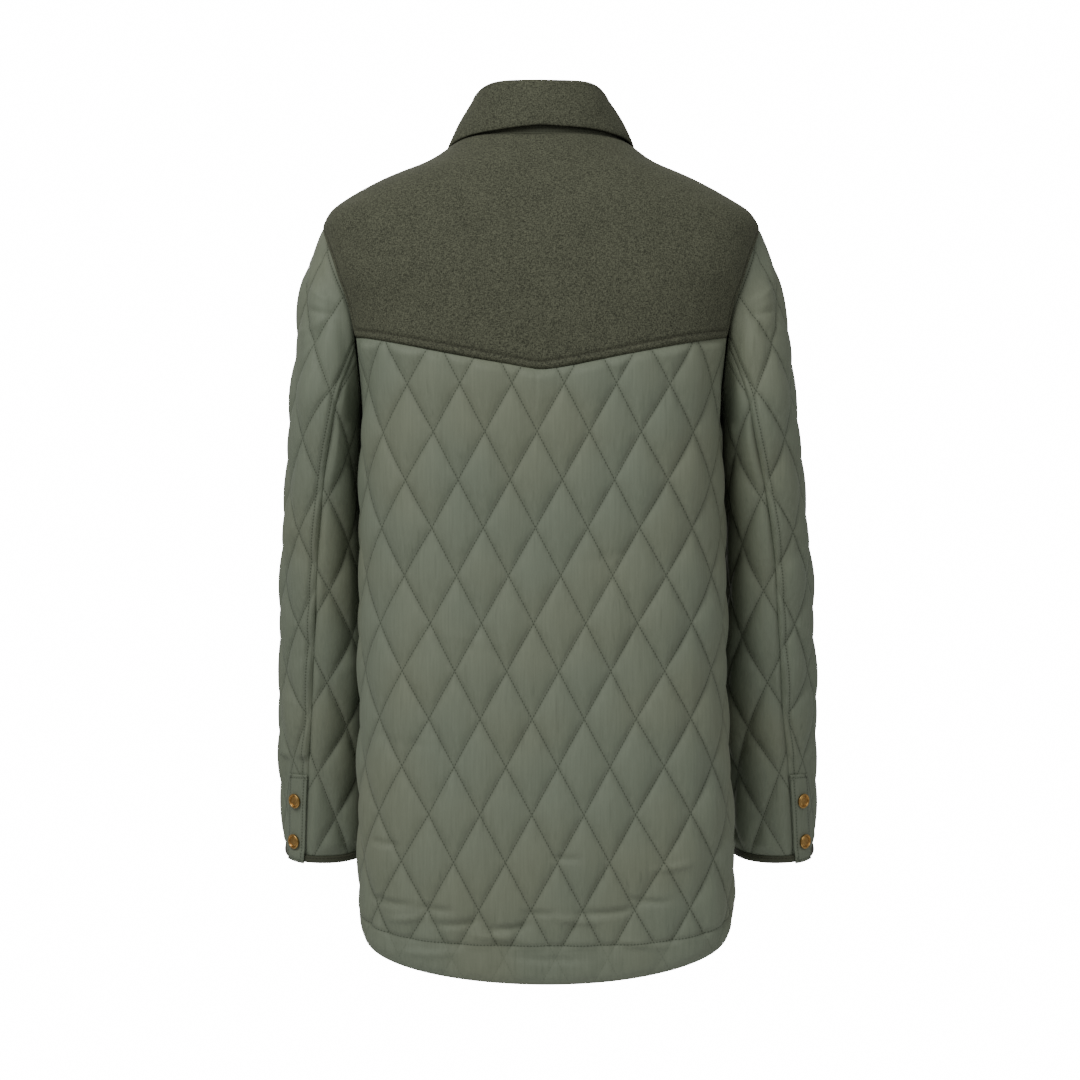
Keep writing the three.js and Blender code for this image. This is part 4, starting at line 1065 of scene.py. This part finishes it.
# middle across and up, length, direction in degrees, width, rise
top_spots = [
    (10, 190, 50, 82, 3.6, -1.7), (24, 182, 56, 88, 3.6, 1.5), (40, 174, 46, 95, 3.6, -1.5),
    (58, 166, 50, 98, 4, 1.2), (-2, 122, 36, 12, 3.0, -1.9), (6, 108, 40, -18, 3.2, 1.5),
    (-4, 137, 32, 28, 3.0, 1.4), (2, 94, 36, -36, 3.2, -1.3),
    (-30, 60, 50, 60, 5, -0.9), (-8, -120, 60, 35, 6, -0.9), (10, -90, 50, -30, 6, 0.8),
    (-20, -210, 60, -25, 6, -0.9), (20, -260, 60, 20, 6, 0.8), (0, -330, 50, 10, 5, -0.7),
]
under_spots = [
    (-20, 40, 40, 50, 5, -0.8), (-30, -60, 60, 30, 6, -0.8), (-40, -160, 60, -25, 6, 0.8),
    (-30, -250, 50, 20, 5, -0.8),
]
for name, side in (("left", 1), ("right", -1)):
    make_sleeve(name, side, "top", 92, 272, top_spots)
    make_sleeve(name, side, "under", 68, 200, under_spots)

# %% [markdown]
# Each cuff is bound with a smooth strip, folded over the raw edge, and closed with a plain tab.
# The tab leaves the back seam, wraps forward over the sleeve and is held by two snaps. Both are laid on the
# sleeve's own formula and moved out, so they follow the arm without a modifier that would shrink them to it.

# %% Cuff bindings and tabs
BINDING_RISE = 1.2


def make_binding(name, side):
    tube, columns, rows = sleeves[side], 160, 8
    angles = np.linspace(0, 2 * np.pi, columns, endpoint=False)[:, None]
    angles = np.where(angles > np.pi, angles - 2 * np.pi, angles) * np.ones((1, rows + 1))
    up = BINDING * (1 - np.linspace(0, 1, rows + 1)) * np.ones((columns, 1))
    z = cuff_height(tube, angles, up)
    base = tube.at(z, angles)
    run = np.linspace(0, 2 * float(tube.half_round(CUFF)), columns)[:, None] * np.ones((1, rows + 1))
    bulge = BINDING_RISE * np.sqrt(np.clip(1 - ((up / BINDING - 0.5) * 1.8) ** 2, 0.05, 1))
    stitches = (up - 5.2, run)
    bulge = bulge - groove(stitches[0], 0.35, 0.9)
    binding = cloth_piece(f"cuff_binding_trim_{name}", base, bulge, WALL, (run, up), stitches, [trim, trim],
                          skip=4, closed=True)
    round_cuff = 2 * float(tube.half_round(CUFF)) * METRE
    dress(binding, base, [f"cuff_binding_{name}"],
          flat=(round_cuff, 2 * BINDING * METRE))


def tab_place(side, across, down, out):
    """A point on a tab: across from the seam and down its length, both from 0 to 1, lifted by a height."""
    tube = sleeves[side]
    around = lambda z: tube.angle(z, tube.arc(z, sleeve_seam(z)) + TAB_WIDE * across)
    bottom = cuff_height(tube, around(np.full_like(across, CUFF)), TAB_END)
    z = TAB_TOP + (bottom - TAB_TOP) * down
    lift = TAB_GAP + BINDING_RISE * ease((bottom + 2 * BINDING - z) / (BINDING / 2))
    turn, rise = 0.01, 0.5
    round_ = tube.at(z, around(z) + turn) - tube.at(z, around(z) - turn)
    tall = tube.at(z + rise, around(z)) - tube.at(z - rise, around(z))
    normal = np.cross(tall, round_) * side
    normal /= np.linalg.norm(normal, axis=-1, keepdims=True)
    return tube.at(z, around(z)) + normal * (lift + out)[..., None]


def make_tab(name, side):
    columns, rows = 20, 72
    across, down = np.meshgrid(np.linspace(0, 1, columns + 1), np.linspace(0, 1, rows + 1), indexing="ij")
    base = tab_place(side, across, down, np.full_like(across, 0.0))
    wide, tall = across * TAB_WIDE, down * TAB_TALL
    rim_gap = np.minimum(np.minimum(wide, TAB_WIDE - wide), np.minimum(TAB_TALL - tall, tall))
    edges = (base[-1], base[0], base[:, -1], base[:, 0])
    stitches = topstitching(base, [(edge, TAB_STITCH) for edge in edges])
    height = TAB_WALL + 0.3 * ripples(wide, tall, 40, 60 + side)
    height = height - roll(rim_gap, 0.9, 1.6) - groove(stitches[0], 0.35, 1.2)
    tab = cloth_piece(f"cuff_tab_cloth_{name}", base, height, 0.0, (wide, -tall), stitches,
                      [plain_shell, plain_shell])
    dress(tab, base, [f"cuff_tab_{name}"])


for name, side in (("left", 1), ("right", -1)):
    make_binding(name, side)
    make_tab(name, side)

# %% [markdown]
# The front opening is covered by a plain band with a row of topstitching down each side. The photograph shows
# the back alone, so this band is the usual one. It is a narrow grid in arc length either side of the middle,
# and not a flat strip bent to the chest, because its edges then stay level and its width true.

# %% Front placket
PLACKET_HALF, PLACKET_WALL, PLACKET_GAP = 18, 2.5, 0.5


def make_placket():
    columns, rows = 24, 280
    shares = np.linspace(-1, 1, 201)
    place = lambda share, z: body.at(z, body.angle(z, body.half_round(z) - share * PLACKET_HALF))
    top = walk(lambda z: place(shares, z), np.full(201, -340.0), 12, off_neck)
    share, height = ruled(place, shares, top - 0.5, np.full(201, FRONT_HEM + 1.0), columns, rows)
    base = place(share, height)
    across, up = share * PLACKET_HALF, height
    rim_gap = PLACKET_HALF - np.abs(across)
    end_gap = np.minimum(edge_field(base, base[:, 0])[0], edge_field(base, base[:, -1])[0])
    stitches = topstitching(base, [(base[0], 5.0), (base[-1], 5.0)])
    height = PLACKET_GAP + PLACKET_WALL + 0.2 * ripples(across, up, 60, 71) - roll(rim_gap, 1.0, 2.0)
    height = height - groove(stitches[0], 0.5, 1.5) - roll(end_gap, 0.9, 2.0)
    placket = cloth_piece("front_placket_cloth", base, height, -PLACKET_GAP, (across, up), stitches,
                          [plain_shell, plain_shell])
    dress(placket, base, ["front_placket"])


make_placket()

# %% [markdown]
# The collar stands up from the neck seam inside, folds over and falls outside. Its middle surface runs up
# the leg, round the fold and down the fall, with a table of heights that changes round the neck.
# Below the fall a smooth strip shows between the wool and the neck seam.

# %% Collar and stand
COLLAR_WALL, STAND_WALL, STAND_TALL = 2.6, 1.6, 13
COLLAR_INSET, COLLAR_FOLD, COLLAR_BULGE, COLLAR_OPENING = 4.4, 3, 1.5, 0.012
FOLD_START, FOLD_END = 0.36, 0.55
COLLAR_DROP = 2

collar_rows = table("z fold edge lean past turn", [
    (180, 35, 13, 15, 18, 26),
    (150, 38, 12, 18, 16, 14),
    (120, 42, 8, 23, 11, 5),
    (90, 45.5, 3, 29, 2, 1),
    (60, 49, 3.5, 25, 2, 0),
    (30, 52.5, 6, 15, 3, 0),
    (0, 53, 9, 11, 3, 0),
])


def body_height(x, y):
    """The height of the body's surface over a place in plan, by halving."""
    high, low = np.full_like(x, body_rows["z"][0]), np.full_like(x, SIDE_SEAM_TOP, dtype=float)
    for _ in range(30):
        middle = (high + low) / 2
        out = body.outside(np.stack([x, y, middle], axis=-1)) > 0
        high, low = np.where(out, middle, high), np.where(out, low, middle)
    return low


def collar_place(angle, across):
    """The collar's middle surface: a straight leg, a half circle over the fold, and a fall with a bulge."""
    angle, across = np.broadcast_arrays(np.asarray(angle, float), np.asarray(across, float))
    turned = np.minimum(np.abs(angle), np.pi - COLLAR_OPENING)
    names = ("fold", "edge", "lean", "past", "turn")
    read = {name: column(collar_rows, name, np.degrees(turned)) for name in names}

    def plan(a, out, z):
        return np.stack([*neckline(a, out), z + np.zeros_like(a)], axis=-1)

    seam = plan(turned, 0.0, 0.0)
    base = body_height(seam[..., 0], seam[..., 1])
    leg = plan(turned, -COLLAR_INSET, base - WALL)
    fold = plan(turned, -read["lean"], base + read["fold"] - COLLAR_FOLD)
    fall = plan(turned, -read["lean"] + 2 * COLLAR_FOLD, fold[..., 2])
    edge = plan(turned - np.radians(read["turn"]), read["past"], 0.0)
    ahead = ease((np.degrees(turned) - 90) / 60)
    under = base + (body_height(edge[..., 0], edge[..., 1]) - base) * ahead
    edge[..., 2] = under + read["edge"] - COLLAR_DROP * ease(np.degrees(angle) / 30) * (1 - ahead)
    outward = fall - fold
    outward /= np.linalg.norm(outward, axis=-1, keepdims=True)
    t = across[..., None]
    up_leg = leg + (fold - leg) * t / FOLD_START
    turn = np.pi * (t - FOLD_START) / (FOLD_END - FOLD_START)
    lift = np.array([0.0, 0.0, 1.0])
    over = (fold + fall) / 2 - outward * COLLAR_FOLD * np.cos(turn) + lift * COLLAR_FOLD * np.sin(turn)
    part = (t - FOLD_END) / (1 - FOLD_END)
    down = fall + (edge - fall) * part + outward * 4 * COLLAR_BULGE * part * (1 - part)
    point = np.where(t < FOLD_START, up_leg, np.where(t < FOLD_END, over, down))
    point[..., 0] *= np.where(angle < 0, -1, 1)
    return point


def collar_run(base):
    """Distances along and across a grid from its middle column and first row."""
    across = np.pad(np.cumsum(np.linalg.norm(np.diff(base, axis=0), axis=2), axis=0), ((1, 0), (0, 0)))
    down = np.pad(np.cumsum(np.linalg.norm(np.diff(base, axis=1), axis=2), axis=1), ((0, 0), (1, 0)))
    return across - across[len(across) // 2], down


span = np.pi - COLLAR_OPENING
angles = np.linspace(-span, span, 241)[:, None]
collar_base = collar_place(angles, np.linspace(0, 1, 81)[None])
run, down = collar_run(collar_base)
edge_gap = edge_field(collar_base, collar_base[:, -1])[0]
end_gap = np.minimum(edge_field(collar_base, collar_base[0])[0], edge_field(collar_base, collar_base[-1])[0])
stitches = topstitching(collar_base, [])
on_fall = ease((down - 40) / 20)
relief = COLLAR_WALL / 2 + 0.35 * ripples(run, down, 60, 8) * on_fall
relief = relief - roll(edge_gap, 0.9, 2.0) - roll(end_gap, 0.9, 2.0)
collar = cloth_piece("collar_wool", collar_base, relief, COLLAR_WALL / 2, (run, down), stitches, [wool, wool])
dress(collar, collar_base, ["collar"])


def stand_place(angle, across):
    """A strip just outside the collar's leg, from the neck seam upwards."""
    angle, across = np.broadcast_arrays(np.asarray(angle, float), np.asarray(across, float))
    bottom = collar_place(angle, np.zeros_like(across))
    leg = collar_place(angle, np.full_like(across, FOLD_START / 2)) - bottom
    leg /= np.linalg.norm(leg, axis=-1, keepdims=True)
    near, far = neckline(np.abs(angle)), neckline(np.abs(angle), 1.0)
    apart = (COLLAR_WALL + STAND_WALL) / 2 + 4 * SEAM
    bottom[..., 0] += np.sign(angle) * (far[0] - near[0]) * apart
    bottom[..., 1] += (far[1] - near[1]) * apart
    return bottom + leg * (WALL + STAND_TALL * across)[..., None]


stand_base = stand_place(angles, np.linspace(1, 0, 13)[None])
run, down = collar_run(stand_base)
stitches = topstitching(stand_base, [(stand_base[:, 0], aside) for aside in (3.0, 6.5, 10.0)])
relief = STAND_WALL / 2 - groove(stitches[0], 0.35, 1.0)
stand = cloth_piece("collar_stand_trim", stand_base, relief, STAND_WALL / 2, (run, down), stitches,
                    [trim, trim])
dress(stand, stand_base, ["collar_stand"])

# %% [markdown]
# A snap's cap is turned metal: a rolled rim, a narrow ring and a low dome. A Screw modifier could turn the
# profile, but carrying it round the axis as arrays puts each cap in its place at once, with its axis square
# to the cloth under it.

# %% Snaps
SNAP_RADIUS, SNAP_TALL, SNAP_RIM = 7.5, 3.0, 1.0
FRONT_SNAPS = [-100 - 112 * k for k in range(6)]
CUFF_SNAPS = [-658, -700]


def snap_profile():
    """Radius and height, from the middle of the back, round the rim, to the middle of the cap."""
    turn = np.linspace(-0.5, 1.0, 13) * np.pi
    rim = SNAP_RIM * np.stack([np.cos(turn), np.sin(turn)], axis=1)
    rim = rim + (SNAP_RADIUS - SNAP_RIM, SNAP_TALL - SNAP_RIM)
    flank = [(0.0, 0.0), (6.2, 0.0), (7.2, 0.4), (7.2, 1.2)]
    ring = [(5.4, 1.75), (5.1, 1.7), (4.8, 1.9)]
    dome = [(4.5 * np.cos(a), 2.0 + 0.6 * np.sin(a)) for a in np.linspace(0.1, np.pi / 2, 8)]
    return np.array([*flank, *rim[4:], *ring, *dome])


def make_snap(node, place, outward):
    """The profile at each of 48 angles, with one point at either end of the axis."""
    steps = 48
    profile = snap_profile()
    side = np.cross(outward, (0, 0, 1.0))
    side /= np.linalg.norm(side)
    other = np.cross(outward, side)
    angle = np.linspace(0, 2 * np.pi, steps, endpoint=False)[:, None, None]
    ring = np.cos(angle) * side + np.sin(angle) * other
    inner = profile[1:-1]
    points = place + ring * inner[None, :, :1] + outward * inner[None, :, 1:]
    count = len(inner)
    ends = np.stack([place + outward * profile[0, 1], place + outward * profile[-1, 1]])
    points = np.concatenate([points.reshape(-1, 3), ends]) * METRE
    i, j = (a.ravel() for a in np.meshgrid(np.arange(steps), np.arange(count - 1), indexing="ij"))
    following = (i + 1) % steps
    here, there = i * count + j, following * count + j
    quads = np.stack([here, here + 1, there + 1, there], axis=1)
    k = np.arange(steps)
    back, cap = len(points) - 2, len(points) - 1
    first = np.stack([np.full(steps, back), k * count, (k + 1) % steps * count], axis=1)
    last = np.stack([np.full(steps, cap), (k + 1) % steps * count + count - 1, k * count + count - 1], axis=1)
    mesh = bpy.data.meshes.new(f"{node}_cap")
    mesh.from_pydata(points, [], [*quads.tolist(), *first.tolist(), *last.tolist()])
    mesh.shade_smooth()
    mesh.materials.append(brass)
    snap = bpy.data.objects.new(f"{node}_cap", mesh)
    bpy.context.scene.collection.objects.link(snap)
    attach(snap, "root")
    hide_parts(node)


for k, z in enumerate(FRONT_SNAPS):
    turn, rise = 0.01, 0.5
    ring = body.at(z, np.pi + turn) - body.at(z, np.pi - turn)
    normal = np.cross(body.at(z + rise, np.pi) - body.at(z - rise, np.pi), ring)
    normal /= np.linalg.norm(normal)
    make_snap(f"front_snap_{k + 1}", body.at(z, np.pi) + normal * (PLACKET_GAP + PLACKET_WALL + SEAM), normal)
for name, side in (("left", 1), ("right", -1)):
    for k, z in enumerate(CUFF_SNAPS):
        down = np.array([(TAB_TOP - z) / (TAB_TOP - CUFF)])
        middle = np.array([0.5])
        low, high = (tab_place(side, middle, down, np.array([h]))[0] for h in (2.0, 4.0))
        outward = (high - low) / np.linalg.norm(high - low)
        make_snap(f"cuff_snap_{name}_{k + 1}", low + outward * SEAM, outward)
print("snaps:", len(FRONT_SNAPS) + 2 * len(CUFF_SNAPS))

# %% [markdown]
# The camera stands three metres behind the jacket, level with its middle, with a long lens.
# A large soft light from the upper left draws the quilting, and a weaker one opens the shadows.
# The surround is white where the camera sees it and dim where it only lights the cloth.

# %% Camera, floor and light
CAMERA_PLACE, LENS, SENSOR = (0.001, 3.0, -0.395), 100.5, 36
FLOOR, FLOOR_RADIUS = -1.5, 1.1


def make_camera():
    camera = bpy.data.cameras.new("camera")
    camera.lens, camera.sensor_width = LENS, SENSOR
    view = bpy.data.objects.new("camera", camera)
    view.location, view.rotation_euler = CAMERA_PLACE, (np.pi / 2, 0, np.pi)
    bpy.context.scene.collection.objects.link(view)
    bpy.context.scene.camera = view


def make_floor(steps=96, edge=0.01):
    """A pale round slab with a small bevel, one ring of points for each corner of its section."""
    section = [(FLOOR_RADIUS - edge, 0.0), (FLOOR_RADIUS, -edge),
               (FLOOR_RADIUS, -0.03), (FLOOR_RADIUS - edge, -0.04)]
    turn = np.linspace(0, 2 * np.pi, steps, endpoint=False)
    rings = [np.stack([r * np.cos(turn), r * np.sin(turn), FLOOR + z + 0 * turn], axis=1) for r, z in section]
    k = np.arange(steps)
    sides = [np.stack([n * steps + k, n * steps + (k + 1) % steps, (n - 1) * steps + (k + 1) % steps,
                       (n - 1) * steps + k], axis=1).tolist() for n in range(1, len(section))]
    mesh = bpy.data.meshes.new("floor")
    faces = [k.tolist(), *sum(sides, []), (k[::-1] + (len(section) - 1) * steps).tolist()]
    mesh.from_pydata(np.concatenate(rings), [], faces)
    floor = bpy.data.objects.new("floor", mesh)
    bpy.context.scene.collection.objects.link(floor)
    pale = Finish("pale_floor", {"Base Color": (0.75, 0.75, 0.75, 1), "Roughness": 0.9,
                                 "Emission Color": (1, 1, 1, 1), "Emission Strength": 0.15})
    mesh.materials.append(pale.material)


def soft_light(name, place, size, power):
    """A large square light that faces the middle of the jacket."""
    light = bpy.data.lights.new(name, "AREA")
    light.size, light.energy = size, power
    lamp = bpy.data.objects.new(name, light)
    lamp.location = place
    aim = np.array([0, 0, -0.4]) - np.array(place)
    lamp.rotation_euler = (np.arctan2(np.hypot(aim[0], aim[1]), -aim[2]), 0, np.arctan2(-aim[0], aim[1]))
    bpy.context.scene.collection.objects.link(lamp)


def make_surround(seen=16.0, cast=0.29):
    """A white surround, far brighter to the camera than the light that it casts."""
    world = bpy.data.worlds.new("surround")
    world.use_nodes = True
    nodes, links = world.node_tree.nodes, world.node_tree.links
    path, strength = nodes.new("ShaderNodeLightPath"), nodes.new("ShaderNodeMapRange")
    strength.inputs["To Min"].default_value, strength.inputs["To Max"].default_value = cast, seen
    links.new(path.outputs["Is Camera Ray"], strength.inputs["Value"])
    links.new(strength.outputs["Result"], nodes["Background"].inputs["Strength"])
    nodes["Background"].inputs["Color"].default_value = (1, 1, 1, 1)
    bpy.context.scene.world = world


make_camera()
make_floor()
soft_light("key", (1.4, 2.0, 1.5), 1.4, 56)
soft_light("fill", (-1.9, 2.2, 0.9), 2.0, 19)
soft_light("far", (0.6, -3.0, 1.4), 2.4, 34)
make_surround()
